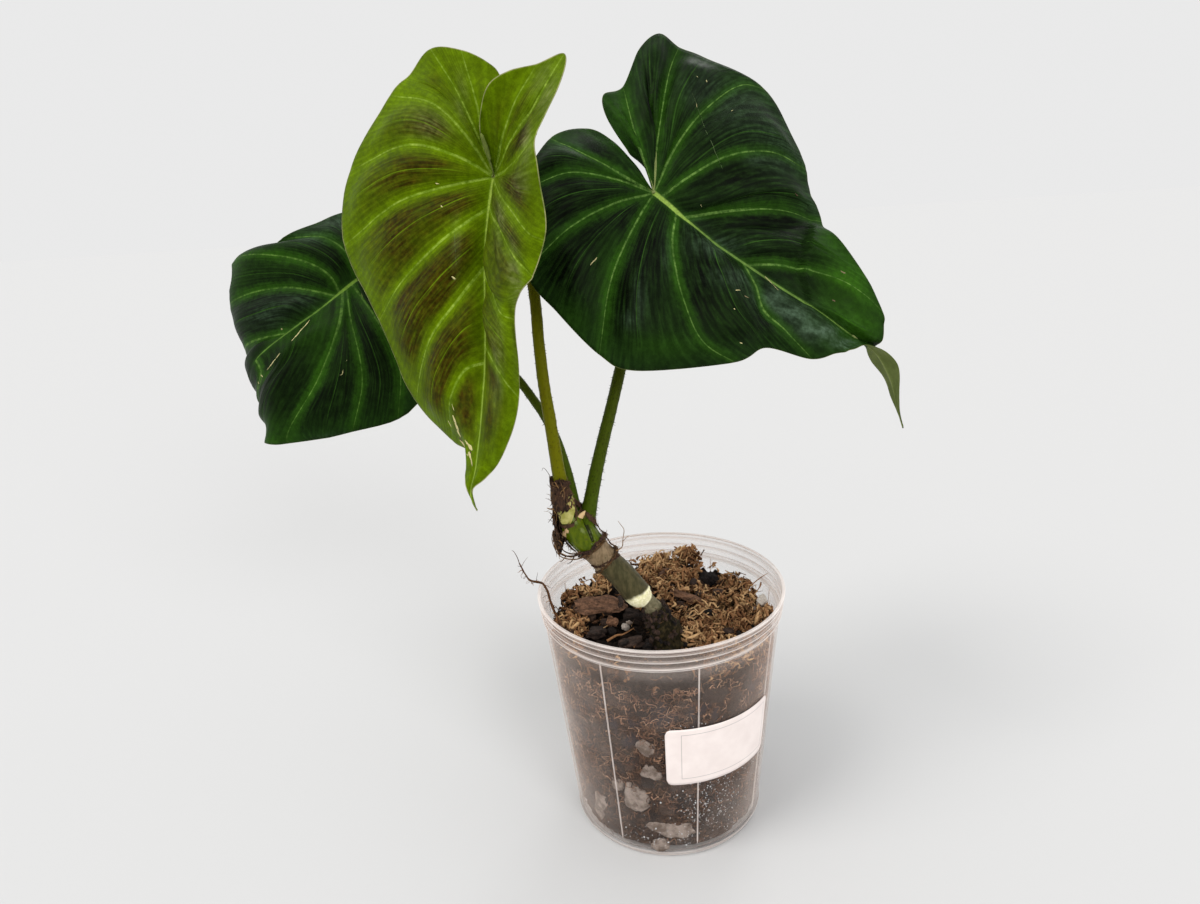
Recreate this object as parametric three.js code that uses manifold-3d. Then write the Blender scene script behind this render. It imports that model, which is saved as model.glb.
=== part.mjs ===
// Potted velvet-leaf philodendron: three heart-shaped blades on bristly petioles, a ringed leaning stem,
// and a clear nursery pot filled with a coarse bark mix.
// Millimetres, +Z up. The origin is the middle of the pot's foot, on the surface; the front faces -Y.

import * as THREE from "three";
import { mergeVertices } from "three/addons/utils/BufferGeometryUtils.js";
import Module from "manifold-3d";

const wasm = await Module();
wasm.setup();

// Driving dimensions of the pot
const POT_HEIGHT = 123.5;
const FOOT_RADIUS = 46.9;
const BAND_BOTTOM = 112;
const BAND_BOTTOM_RADIUS = 57.4;
const LIP_RADIUS = 60;
const WALL = 1;
const FLOOR_THICKNESS = 1.6;
const FOOT_BEAD = 0.5;
const BAND_STEP = 0.6;
const RING_COUNT = 3;
const RING_SPACING = 3.7;
const RING_PROUD = 0.45;
const RING_HEIGHT = 1.3;
const LIP_HEIGHT = 1.2;
const POT_SIDES = 40;
const RIB_COUNT = 8;
const RIB_TURN = 16;
const RIB_WIDTH = 1.2;
const RIB_PROUD = 0.3;
const RIB_BOTTOM = 7;
const DRAIN_COUNT = 8;
const DRAIN_RADIUS = 3.5;
const DRAIN_CIRCLE = 30;

// Driving dimensions of the label on the wall
const LABEL_BOTTOM = 45;
const LABEL_TOP = 77.5;
const LABEL_MIDDLE_ANGLE = 27;
const LABEL_HALF_ANGLE = 31.5;
const LABEL_GAP = 0.6;
const LABEL_THICKNESS = 0.6;
const LABEL_CORNER = 3;
const LABEL_COLUMNS = 14;

// Driving dimensions of the plant
const TOUCH_GAP = 0.3;
const MIX_LEVEL = 104.5;
const MIX_BACK_RISE = 0.1;
const MIX_LUMP = 2.6;
const MIX_EDGE_DROP = 8;
const MIX_SIDES = 40;
const MIX_RINGS = 9;
const BLADE_THICKNESS = 0.9;
const BLADE_ROWS = 7;
const BLADE_QUILT = 0.9;
const COLUMN_STEP = 0.016;
const FIRST_STATION = 0.004;
const PETIOLE_SIDES = 10;
const STEM_SIDES = 14;
const ROOT_SIDES = 6;

const SHEATH_THICKNESS = 0.9;
const SHEATH_ROWS = 13;
const SHEATH_COLUMNS = 12;
const SHEATH_CRUMPLE = 0.35;
const SHEATH_FRINGE = 1.6;

const DEGREE = Math.PI / 180;

const COLOURS = {
  pot: [0xdfe3e2, 0.25, 0],
  label: [0xf4f3ef, 0.7, 0],
  mix: [0x5a4231, 0.95, 0],
  stem: [0x6f7a5c, 0.6, 0],
  sheath: [0x4a3423, 0.9, 0],
  petiole: [0x5f6b1e, 0.5, 0],
  root: [0x5b3a26, 0.85, 0],
  light: [0x6f8f1c, 0.55, 0],
  dark: [0x173a17, 0.5, 0],
};

// Each stem and root is a list of [x, y, z, radius] down its middle.
// The cane leans left out of the mix: a dark root stub, a thin neck, a pale rounded end, then two node rings.
const STEM = [
  [5, -19, 87, 7.6],
  [1, -20, 105, 7.3],
  [-2.5, -20, 116, 6.2],
  [-5, -20, 122.5, 4.2],
  [-7.2, -20, 126, 3.6],
  [-8.6, -20, 127.4, 4.6],
  [-10.4, -20, 129, 6],
  [-13, -20, 132, 6.4],
  [-18, -20, 139.5, 6.3],
  [-23.6, -20, 146.4, 6.2],
  [-25.6, -20, 148.6, 6.9],
  [-27.3, -20, 150.4, 6.2],
  [-29.8, -20, 154, 6.4],
  [-31.4, -20, 156.2, 7.2],
  [-33.2, -19.7, 158.6, 6.8],
  [-36.5, -19.2, 163.3, 7.2],
  [-39, -18.7, 167, 6.6],
];

const PETIOLES = {
  petiole_front: [
    [-40.9, -19.9, 168.1, 2.7],
    [-41.5, -19.8, 173, 2.8],
    [-43.4, -19.3, 187, 3.1],
    [-45.2, -17, 205, 2.8],
    [-46.4, -15, 218, 2.7],
    [-47.7, -12, 231, 2.6],
    [-48.6, -8, 248, 2.5],
    [-48.9, -5, 267, 2.4],
    [-50.6, -4, 283, 2.3],
    [-54, -6, 300, 2.2],
    [-57.6, -11.5, 311.5, 1.9],
    [-59.8, -19.1, 318.5, 1.2],
  ],
  petiole_left: [
    [-37.5, -13.4, 169, 2.1],
    [-39.8, -9.6, 184, 2.3],
    [-43.4, -4.4, 198.5, 2.2],
    [-48, 0.8, 210, 2.1],
    [-54.7, 6.4, 220.3, 2],
    [-62.1, 12, 229.6, 2],
    [-75.3, 20, 243, 2],
    [-95.8, 30, 259, 1.9],
    [-114.4, 37, 269.5, 1.9],
    [-126, 40.4, 274.5, 1.7],
    [-131, 37.6, 276, 1.2],
  ],
  petiole_right: [
    [-32.6, -17.2, 170.2, 2.9],
    [-30.6, -14, 177, 3],
    [-27.6, -11, 188.5, 3],
    [-23.5, -8, 202.5, 2.8],
    [-19, -4, 216, 2.7],
    [-13.9, 2, 232, 2.6],
    [-8.1, 9, 250.5, 2.5],
    [-2.4, 15, 269.5, 2.4],
    [2.1, 18.5, 286.5, 2.3],
    [4.6, 18, 300, 2],
    [5.2, 13.6, 306.6, 1.3],
  ],
};

// A wiry root grows out of the mix, up the wall's inside and out over the rim.
const ROOTS = {
  root_over_rim: [
    [-44, -6, 99, 0.8],
    [-49, -4, 105.5, 0.9],
    [-52, 0.5, 110, 0.9],
    [-54.2, 3, 116, 0.9],
    [-55.4, 4.4, 121.4, 0.8],
    [-57.4, 5.2, 125.2, 0.8],
    [-60.4, 6.2, 126, 0.7],
    [-63.8, 7, 126.8, 0.7],
    [-66, 7.8, 130, 0.6],
    [-68.4, 9, 135.4, 0.5],
  ],
};

// Each blade grows from its attachment, the midrib's first point. A side is listed from the notch between
// the lobes round to the tip: vein() and edge() give where on the midrib a line leaves it, as a share of the
// midrib's length, and the line's points out to the margin. edge() only shapes the margin between veins.
const BLADES = {
  leaf_front: {
    midrib: [
      [-60, -20, 319],
      [-63, -31, 304],
      [-65, -38, 288],
      [-66, -46, 268],
      [-68, -54, 246],
      [-71, -60, 228],
      [-74, -63, 213],
      [-77, -63, 202],
      [-76, -58, 193],
    ],
    left: [
      edge(0, [-57, -19, 324], [-55, -17, 329]),
      edge(0, [-56, -17, 331], [-52, -12, 341]),
      edge(0, [-58, -14, 336], [-55, -5, 356]),
      edge(0, [-61, -14, 340], [-60, -4, 362]),
      vein(0, [-63, -16, 330], [-65, -10, 346], [-70, -2, 367]),
      vein(0, [-64, -16, 333], [-71, -10, 349], [-82, -1, 368]),
      edge(0, [-68, -18, 336], [-77, -12, 349], [-91, -3, 359]),
      vein(0, [-70, -20, 336], [-81, -15, 347], [-100, -3, 352]),
      vein(0, [-72, -22, 327], [-92, -18, 333], [-120, -3, 324]),
      vein(0, [-77, -25, 317], [-98, -21, 312], [-126, -7, 295]),
      vein(0.13, [-78, -34, 302], [-98, -31, 286], [-116, -18, 263]),
      vein(0.27, [-75, -42, 277], [-90, -40, 259], [-100, -30, 232]),
      vein(0.54, [-75, -51, 250], [-83, -49, 237], [-85, -45, 219]),
      edge(0.68, [-73, -57, 229], [-78, -55, 223], [-78, -53, 217]),
      edge(0.82, [-76, -61, 214], [-79, -59, 209]),
      edge(0.93, [-78, -63, 204]),
    ],
    right: [
      edge(0, [-60, -25, 324], [-61, -28, 330]),
      edge(0, [-61, -27, 329], [-62, -34, 339]),
      edge(0, [-58, -31, 335], [-58, -37, 351]),
      edge(0, [-55, -33, 336], [-50, -37, 356]),
      vein(0, [-54, -33, 334], [-48, -38, 346], [-39, -37, 358]),
      vein(0, [-52, -36, 331], [-42, -44, 344], [-29, -36, 361]),
      edge(0, [-52, -38, 328], [-43, -48, 338], [-31, -45, 351]),
      vein(0, [-53, -40, 323], [-47, -54, 327], [-40, -60, 334]),
      edge(0, [-53, -42, 320], [-47, -58, 320], [-40, -66, 323]),
      vein(0.06, [-55, -44, 314], [-48, -60, 311], [-39, -68, 307]),
      vein(0.22, [-58, -52, 295], [-52, -66, 290], [-45, -72, 287]),
      edge(0.32, [-60, -56, 282], [-56, -66, 279], [-50, -70, 281]),
      vein(0.4, [-61, -58, 274], [-57, -66, 269], [-53, -66, 271]),
      vein(0.57, [-63, -62, 252], [-59, -70, 248], [-54, -68, 242]),
      vein(0.78, [-69, -65, 221], [-65, -68, 218], [-63, -67, 218]),
      edge(0.86, [-72, -66, 213], [-70, -66, 210]),
      edge(0.94, [-76, -64, 204]),
    ],
    finish: COLOURS.light,
  },
  leaf_right: {
    midrib: [
      [5, 10, 307],
      [14, 9, 299],
      [23, 7, 291],
      [35, 5, 281],
      [46, 4, 273],
      [60, 3, 263],
      [75, 1, 253],
      [89, 2, 242],
      [101, 8, 234],
      [108, 11, 225],
      [113, 12, 215],
      [116, 12, 205],
      [119, 10, 193],
    ],
    left: [
      edge(0, [2, 9, 310], [1, 10, 312]),
      edge(0, [1, 10, 313], [-2, 13, 320]),
      edge(0, [-1, 8, 316], [-11, 16, 331]),
      edge(0, [-6, 7, 318], [-22, 19, 335]),
      vein(0, [-11, 4, 317], [-30, 6, 328], [-38, 12, 332]),
      vein(0, [-12, 3, 313], [-31, -3, 315], [-51, -3, 310]),
      vein(0, [-12, -2, 305], [-32, -14, 297], [-51, -20, 282]),
      edge(0, [-9, -2, 301], [-28, -19, 285], [-39, -26, 265]),
      vein(0, [-2, 0, 299], [-16, -22, 277], [-23, -33, 248]),
      edge(0.03, [2, -2, 294], [-7, -22, 272], [-8, -32, 240]),
      vein(0.09, [11, -3, 288], [12, -19, 266], [15, -26, 246], [22, -24, 236]),
      vein(0.3, [33, -6, 273], [40, -15, 257], [49, -15, 242]),
      edge(0.36, [43, -5, 268], [51, -13, 254], [58, -13, 238]),
      vein(0.43, [51, -5, 263], [59, -12, 251], [69, -12, 235]),
      edge(0.62, [86, -4, 238], [88, -8, 238]),
      edge(0.7, [96, 0, 237]),
      edge(0.75, [105, 3, 233]),
      edge(0.82, [113, 6, 225]),
      edge(0.89, [115, 8, 213]),
      edge(0.95, [116, 9, 202]),
    ],
    right: [
      edge(0, [5, 11, 310], [5, 13, 312]),
      edge(0, [4, 11, 314], [3, 15, 318]),
      edge(0, [3, 12, 319], [-5, 17, 325]),
      edge(0, [2, 11, 321], [-5, 17, 333], [-13, 25, 339]),
      edge(0, [2, 12, 322], [-5, 19, 336], [-14, 29, 348]),
      edge(0, [4, 14, 325], [1, 24, 341], [-2, 39, 355]),
      vein(0, [6, 16, 324], [5, 25, 343], [4, 48, 367]),
      edge(0, [9, 17, 326], [10, 27, 344], [13, 52, 373]),
      edge(0, [10, 17, 325], [14, 28, 344], [22, 52, 367]),
      vein(0, [11, 17, 322], [17, 28, 342], [33, 51, 362]),
      vein(0, [18, 20, 324], [35, 34, 342], [58, 53, 350]),
      vein(0.02, [21, 15, 313], [47, 27, 320], [75, 44, 320]),
      edge(0.05, [25, 12, 306], [51, 25, 310], [77, 40, 308]),
      vein(0.08, [31, 12, 301], [56, 27, 306], [79, 33, 299]),
      edge(0.11, [38, 14, 298], [63, 27, 299], [89, 35, 291]),
      vein(0.13, [42, 15, 296], [65, 24, 294], [82, 28, 287]),
      edge(0.2, [46, 11, 287], [70, 17, 282], [88, 19, 282]),
      vein(0.3, [56, 5, 274], [76, 6, 267], [97, 12, 266]),
      vein(0.43, [74, 3, 260], [89, 1, 252], [105, 5, 246]),
      edge(0.52, [82, 0, 251], [94, -1, 244], [104, 2, 238]),
      edge(0.6, [95, 3, 239], [103, 8, 234]),
      edge(0.68, [101, 13, 231]),
      edge(0.75, [104, 17, 225]),
      edge(0.82, [110, 18, 217]),
      edge(0.89, [113, 16, 209]),
      edge(0.95, [116, 13, 201]),
    ],
    finish: COLOURS.dark,
  },
  leaf_left: {
    midrib: [
      [-133, 34, 275],
      [-141, 33, 270],
      [-153, 30, 262],
      [-165, 29, 255],
      [-178, 28, 247],
      [-188, 30, 239],
      [-194, 33, 230],
      [-192, 44, 218],
      [-184, 57, 208],
      [-175, 68, 200],
    ],
    left: [
      edge(0, [-131, 35, 276], [-128, 37, 279]),
      edge(0, [-129, 37, 282], [-121, 43, 290]),
      edge(0, [-131, 39, 288], [-124, 51, 304]),
      vein(0, [-133, 37, 287], [-138, 53, 304]),
      edge(0, [-135, 38, 289], [-140, 43, 296], [-154, 53, 300]),
      vein(0, [-137, 37, 287], [-148, 43, 294], [-171, 53, 294]),
      vein(0.08, [-146, 34, 278], [-160, 39, 285], [-184, 47, 288], [-198, 60, 284], [-193, 74, 277]),
      vein(0.18, [-153, 33, 273], [-168, 35, 275], [-188, 41, 270], [-203, 55, 263], [-196, 80, 250]),
      edge(0.32, [-166, 32, 265], [-186, 37, 261], [-201, 50, 254], [-194, 81, 234]),
      vein(0.45, [-175, 30, 257], [-192, 37, 250], [-199, 47, 243], [-191, 78, 219]),
      edge(0.6, [-190, 34, 245], [-197, 42, 236], [-186, 75, 209]),
      edge(0.74, [-191, 52, 223], [-182, 73, 204]),
      edge(0.88, [-178, 71, 200]),
    ],
    right: [
      edge(0, [-130, 33, 273], [-127, 33, 272]),
      edge(0, [-124, 27, 270], [-115, 28, 267]),
      edge(0, [-123, 22, 262], [-105, 20, 252]),
      vein(0.02, [-128, 23, 265], [-113, 12, 247], [-100, 11, 234]),
      edge(0.04, [-129, 21, 258], [-116, 10, 241], [-107, 7, 221]),
      vein(0.06, [-135, 24, 260], [-125, 12, 246], [-126, 8, 213]),
      edge(0.1, [-138, 24, 258], [-136, 13, 240], [-143, 8, 208]),
      vein(0.16, [-145, 24, 256], [-154, 14, 234], [-170, 11, 212], [-175, 13, 203]),
      edge(0.28, [-158, 23, 248], [-171, 16, 228], [-186, 19, 203]),
      edge(0.42, [-169, 23, 244], [-183, 21, 225], [-190, 26, 214], [-182, 36, 202]),
      vein(0.55, [-182, 25, 234], [-190, 29, 225], [-187, 41, 208], [-178, 50, 198]),
      edge(0.7, [-186, 50, 210], [-174, 58, 197]),
      edge(0.86, [-180, 61, 203], [-173, 65, 198]),
    ],
    finish: COLOURS.dark,
  },
};

function vein(station, ...points) {
  return { station, points: points.map((p) => new THREE.Vector3(...p)), strong: true };
}

function edge(station, ...points) {
  return { station, points: points.map((p) => new THREE.Vector3(...p)), strong: false };
}

// Helpers for meshes and solids

function meshOf(name, geometry, [color, roughness, metalness]) {
  const mesh = new THREE.Mesh(geometry, new THREE.MeshStandardMaterial({ color, roughness, metalness }));
  mesh.name = name;
  return mesh;
}

function geometryOf(points, triangles) {
  const geometry = new THREE.BufferGeometry();
  const flat = points.flatMap((p) => [p.x, p.y, p.z]);
  geometry.setAttribute("position", new THREE.Float32BufferAttribute(flat, 3));
  geometry.setIndex(triangles.flat());
  return geometry;
}

function solidOf(geometry) {
  const bare = geometry.clone();
  bare.deleteAttribute("normal");
  bare.deleteAttribute("uv");
  const merged = mergeVertices(bare, 1e-4);
  return new wasm.Manifold(
    new wasm.Mesh({
      numProp: 3,
      vertProperties: merged.attributes.position.array,
      triVerts: new Uint32Array(merged.index.array),
    }),
  );
}

function geometryOfSolid(solid) {
  const { vertProperties, triVerts } = solid.getMesh();
  const geometry = new THREE.BufferGeometry();
  geometry.setAttribute("position", new THREE.BufferAttribute(vertProperties, 3));
  geometry.setIndex(new THREE.BufferAttribute(triVerts, 1));
  return geometry;
}

function lerp(a, b, share) {
  return a + (b - a) * share;
}

// A value that passes smoothly through every entry of a list, at a place between 0 and its last index.
function smoothAlong(list, place, mix) {
  const last = list.length - 1;
  const i = Math.min(Math.floor(place), last - 1);
  const t = place - i;
  const before = list[Math.max(i - 1, 0)];
  const after = list[Math.min(i + 2, last)];
  const weights = [
    -0.5 * t + t * t - 0.5 * t ** 3,
    1 - 2.5 * t * t + 1.5 * t ** 3,
    0.5 * t + 2 * t * t - 1.5 * t ** 3,
    -0.5 * t * t + 0.5 * t ** 3,
  ];
  return mix([before, list[i], list[i + 1], after], weights);
}

const mixNumbers = (values, weights) => values.reduce((sum, v, i) => sum + v * weights[i], 0);

const mixVectors = (values, weights) =>
  values.reduce((sum, v, i) => sum.addScaledVector(v, weights[i]), new THREE.Vector3());

// A closed round limb along [x, y, z, radius] points. dent(place, angle) may scale the radius.
function limbGeometry(route, sides, stepsPerPoint, dent = () => 1) {
  const middles = route.map(([x, y, z]) => new THREE.Vector3(x, y, z));
  const radii = route.map(([, , , radius]) => radius);
  const last = route.length - 1;
  const steps = last * stepsPerPoint;
  const points = [];
  const triangles = [];
  let side = new THREE.Vector3(0, 1, 0);
  for (let step = 0; step <= steps; step++) {
    const place = step / stepsPerPoint;
    const here = smoothAlong(middles, place, mixVectors);
    const ahead = smoothAlong(middles, Math.min(place + 0.05, last), mixVectors);
    const behind = smoothAlong(middles, Math.max(place - 0.05, 0), mixVectors);
    const along = ahead.sub(behind).normalize();
    side = side.clone().addScaledVector(along, -side.dot(along)).normalize();
    const across = along.clone().cross(side);
    const radius = smoothAlong(radii, place, mixNumbers);
    for (let k = 0; k < sides; k++) {
      const angle = (k / sides) * 2 * Math.PI;
      const reach = radius * dent(place, angle);
      points.push(
        here
          .clone()
          .addScaledVector(side, reach * Math.cos(angle))
          .addScaledVector(across, reach * Math.sin(angle)),
      );
    }
  }
  for (let step = 0; step < steps; step++)
    for (let k = 0; k < sides; k++) {
      const a = step * sides + k;
      const b = step * sides + ((k + 1) % sides);
      triangles.push([a, b, b + sides], [a, b + sides, a + sides]);
    }
  const top = points.length - sides;
  for (let k = 1; k < sides - 1; k++) {
    triangles.push([0, k + 1, k]);
    triangles.push([top, top + k, top + k + 1]);
  }
  return geometryOf(points, triangles);
}

// Pot

function wallRadius(z) {
  return lerp(FOOT_RADIUS, BAND_BOTTOM_RADIUS, z / BAND_BOTTOM);
}

// The rim band stands out a step from the wall below it and leans outward to the lip.
function bandRadius(z) {
  const share = (z - BAND_BOTTOM) / (POT_HEIGHT - LIP_HEIGHT - BAND_BOTTOM);
  return lerp(BAND_BOTTOM_RADIUS + BAND_STEP, LIP_RADIUS - BAND_STEP, share);
}

// From the middle of the foot up the outside, over the lip and down the inside to the middle of the floor.
function potProfile() {
  const outer = [
    [0, 0],
    [FOOT_RADIUS - 1.4, 0],
    [FOOT_RADIUS, 1.2],
    [wallRadius(3) + FOOT_BEAD, 3],
    [wallRadius(5), 5],
    [wallRadius(BAND_BOTTOM), BAND_BOTTOM],
  ];
  for (let ring = 0; ring < RING_COUNT; ring++) {
    const z = BAND_BOTTOM + BAND_STEP + ring * RING_SPACING;
    const crest = z + RING_HEIGHT / 2;
    outer.push([bandRadius(z), z]);
    outer.push([bandRadius(crest) + RING_PROUD, crest]);
    outer.push([bandRadius(z + RING_HEIGHT), z + RING_HEIGHT]);
  }
  outer.push([LIP_RADIUS - BAND_STEP, POT_HEIGHT - LIP_HEIGHT]);
  outer.push([LIP_RADIUS, POT_HEIGHT - 0.7]);
  outer.push([LIP_RADIUS, POT_HEIGHT - 0.2]);
  outer.push([LIP_RADIUS - 0.4, POT_HEIGHT]);
  const inner = [
    [LIP_RADIUS - BAND_STEP - WALL, POT_HEIGHT],
    [bandRadius(POT_HEIGHT - LIP_HEIGHT) - WALL, POT_HEIGHT - LIP_HEIGHT],
    [bandRadius(BAND_BOTTOM + WALL) - WALL, BAND_BOTTOM + WALL],
    [wallRadius(BAND_BOTTOM) - WALL, BAND_BOTTOM],
    [wallRadius(4) - WALL, 4],
    [FOOT_RADIUS - WALL - 1.6, FLOOR_THICKNESS],
    [0, FLOOR_THICKNESS],
  ];
  return [...outer, ...inner].map(([r, z]) => new THREE.Vector2(r, z));
}

function potGeometry() {
  const lathe = new THREE.LatheGeometry(potProfile(), POT_SIDES);
  lathe.rotateX(Math.PI / 2);
  let pot = solidOf(lathe);
  for (let i = 0; i < RIB_COUNT; i++) pot = pot.add(solidOf(ribGeometry(i)));
  for (let i = 0; i < DRAIN_COUNT; i++) pot = pot.subtract(solidOf(drainGeometry(i)));
  return geometryOfSolid(pot);
}

// Angles run from the front, -Y, towards +X.
function ribGeometry(index) {
  const from = RIB_BOTTOM;
  const to = BAND_BOTTOM + WALL;
  const slope = Math.atan((wallRadius(to) - wallRadius(from)) / (to - from));
  const depth = RIB_PROUD + WALL / 2;
  const rib = new THREE.BoxGeometry(RIB_WIDTH, depth, (to - from) / Math.cos(slope));
  rib.rotateX(slope);
  rib.translate(0, -(wallRadius((from + to) / 2) + RIB_PROUD - depth / 2), (from + to) / 2);
  rib.rotateZ((RIB_TURN + (index * 360) / RIB_COUNT) * DEGREE);
  return rib;
}

function drainGeometry(index) {
  const drain = new THREE.CylinderGeometry(DRAIN_RADIUS, DRAIN_RADIUS, 4 * FLOOR_THICKNESS, 16);
  drain.rotateX(Math.PI / 2);
  drain.translate(0, -DRAIN_CIRCLE, 0);
  drain.rotateZ(((index + 0.5) * 360 * DEGREE) / DRAIN_COUNT);
  return drain;
}

// Label: a thin plate bent round the wall, with rounded corners.

function labelGeometry() {
  const columns = LABEL_COLUMNS;
  const corner = LABEL_CORNER;
  const points = [];
  const triangles = [];
  for (const out of [LABEL_GAP, LABEL_GAP + LABEL_THICKNESS])
    for (let c = 0; c <= columns; c++) {
      const angle = (LABEL_MIDDLE_ANGLE + lerp(-1, 1, c / columns) * LABEL_HALF_ANGLE) * DEGREE;
      const fromEnd = (Math.min(c, columns - c) * 2 * LABEL_HALF_ANGLE * DEGREE * FOOT_RADIUS) / columns;
      const round = corner - Math.sqrt(Math.max(corner ** 2 - Math.max(corner - fromEnd, 0) ** 2, 0));
      for (const z of [LABEL_BOTTOM + round, LABEL_TOP - round]) {
        const radius = wallRadius(z) + out;
        points.push(new THREE.Vector3(radius * Math.sin(angle), -radius * Math.cos(angle), z));
      }
    }
  const outer = 2 * (columns + 1);
  for (let c = 0; c < columns; c++) {
    const a = 2 * c;
    const quad = (p, q, r, s) => triangles.push([p, q, r], [p, r, s]);
    quad(outer + a, outer + a + 2, outer + a + 3, outer + a + 1);
    quad(a, a + 1, a + 3, a + 2);
    quad(a, a + 2, outer + a + 2, outer + a);
    quad(a + 1, outer + a + 1, outer + a + 3, a + 3);
  }
  const end = 2 * columns;
  triangles.push([0, outer, outer + 1], [0, outer + 1, 1]);
  triangles.push([end, end + 1, outer + end + 1], [end, outer + end + 1, outer + end]);
  return geometryOf(points, triangles);
}

// Potting mix: fills the pot to its wall, with a lumpy top and plain holes for the cane and the root.

// The level is three crossing waves, each a shorter one, over a slope that rises to the back.
function mixLevel(x, y) {
  const broad = Math.sin(x * 0.31 + 1.3) * Math.cos(y * 0.27 - 0.4);
  const middle = 0.7 * Math.sin(x * 0.62 - y * 0.51 + 2.1);
  const fine = 0.5 * Math.cos(x * 0.93 + y * 1.07);
  return MIX_LEVEL + MIX_BACK_RISE * y + (MIX_LUMP * (broad + middle + fine)) / 2;
}

// A route a little wider than what stands in it.
function holeRoute(route) {
  return route.map(([x, y, z, radius], i) => [x, y, i ? z : z - TOUCH_GAP, radius + TOUCH_GAP]);
}

function mixGeometry() {
  const points = [];
  const triangles = [];
  const bottom = FLOOR_THICKNESS + TOUCH_GAP;
  const ringAt = (radiusOf, levelOf) => {
    for (let k = 0; k < MIX_SIDES; k++) {
      const angle = (k / MIX_SIDES) * 2 * Math.PI;
      const radius = radiusOf(angle);
      const x = radius * Math.cos(angle);
      const y = radius * Math.sin(angle);
      points.push(new THREE.Vector3(x, y, levelOf(x, y)));
    }
  };
  const fit = Math.cos(Math.PI / POT_SIDES);
  const insideRadius = (z) => (wallRadius(z) - WALL) * fit - TOUCH_GAP;
  ringAt(() => FOOT_RADIUS - WALL - 2.6, () => bottom);
  ringAt(() => insideRadius(5), () => 5);
  const rimRadius = insideRadius(MIX_LEVEL - MIX_EDGE_DROP);
  for (let ring = MIX_RINGS; ring >= 1; ring--)
    ringAt(() => (rimRadius * ring) / MIX_RINGS, (x, y) => mixLevel(x, y));
  const rings = MIX_RINGS + 2;
  for (let ring = 0; ring < rings - 1; ring++)
    for (let k = 0; k < MIX_SIDES; k++) {
      const a = ring * MIX_SIDES + k;
      const b = ring * MIX_SIDES + ((k + 1) % MIX_SIDES);
      triangles.push([a, b, b + MIX_SIDES], [a, b + MIX_SIDES, a + MIX_SIDES]);
    }
  const foot = points.push(new THREE.Vector3(0, 0, bottom)) - 1;
  const top = points.push(new THREE.Vector3(0, 0, mixLevel(0, 0))) - 1;
  const lastRing = (rings - 1) * MIX_SIDES;
  for (let k = 0; k < MIX_SIDES; k++) {
    const next = (k + 1) % MIX_SIDES;
    triangles.push([foot, next, k], [top, lastRing + k, lastRing + next]);
  }
  const mix = solidOf(geometryOf(points, triangles))
    .subtract(solidOf(limbGeometry(holeRoute(STEM.slice(0, 4)), STEM_SIDES, 3)))
    .subtract(solidOf(limbGeometry(holeRoute(ROOTS.root_over_rim.slice(0, 4)), ROOT_SIDES, 3)));
  const bodies = mix.decompose().sort((a, b) => b.volume() - a.volume());
  return geometryOfSolid(bodies[0]);
}

// Dried sheath: the torn brown remains of an old leaf base, wrapped round the left of the cane's top and
// the front petiole. Angles run from the left, -X, towards the front.

const SHEATH = {
  route: [
    [-32.8, -19.8, 158.2, 8.6],
    [-38, -19, 165.5, 8.4],
    [-41.2, -19.3, 174, 6.6],
    [-43, -19.4, 182, 4.6],
    [-43.6, -19.1, 189.5, 4.2],
  ],
  spread: [
    [-50, 60],
    [-60, 15],
    [-70, 40],
    [-80, 110],
    [-80, 120],
  ],
};

function sheathGeometry() {
  const middles = SHEATH.route.map(([x, y, z]) => new THREE.Vector3(x, y, z));
  const last = middles.length - 1;
  const rows = SHEATH_ROWS;
  const columns = SHEATH_COLUMNS;
  const inner = [];
  const outer = [];
  for (let row = 0; row <= rows; row++) {
    const place = (row / rows) * last;
    const here = smoothAlong(middles, place, mixVectors);
    const ahead = smoothAlong(middles, Math.min(place + 0.1, last), mixVectors);
    const behind = smoothAlong(middles, Math.max(place - 0.1, 0), mixVectors);
    const along = ahead.sub(behind).normalize();
    const left = new THREE.Vector3(-1, 0, 0);
    left.addScaledVector(along, -left.dot(along)).normalize();
    const front = along.clone().cross(left);
    const radius = smoothAlong(SHEATH.route.map((p) => p[3]), place, mixNumbers);
    const tear = 7 * Math.sin(row * 2.3) + 4 * Math.sin(row * 5.1);
    const from = smoothAlong(SHEATH.spread.map((s) => s[0]), place, mixNumbers) + tear;
    const to = smoothAlong(SHEATH.spread.map((s) => s[1]), place, mixNumbers) - tear;
    for (let column = 0; column <= columns; column++) {
      const angle = lerp(from, to, column / columns) * DEGREE;
      const out = left.clone().multiplyScalar(Math.cos(angle)).addScaledVector(front, Math.sin(angle));
      const crumple = SHEATH_CRUMPLE * Math.sin(column * 1.9 + row * 0.8);
      const slip = row === 0 || row === rows ? SHEATH_FRINGE * Math.sin(column * 2.7) : 0;
      const base = here.clone().addScaledVector(along, slip);
      inner.push(base.clone().addScaledVector(out, radius + crumple));
      outer.push(base.clone().addScaledVector(out, radius + crumple + SHEATH_THICKNESS));
    }
  }
  return sheetGeometry(outer, inner, rows, columns);
}

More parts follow.
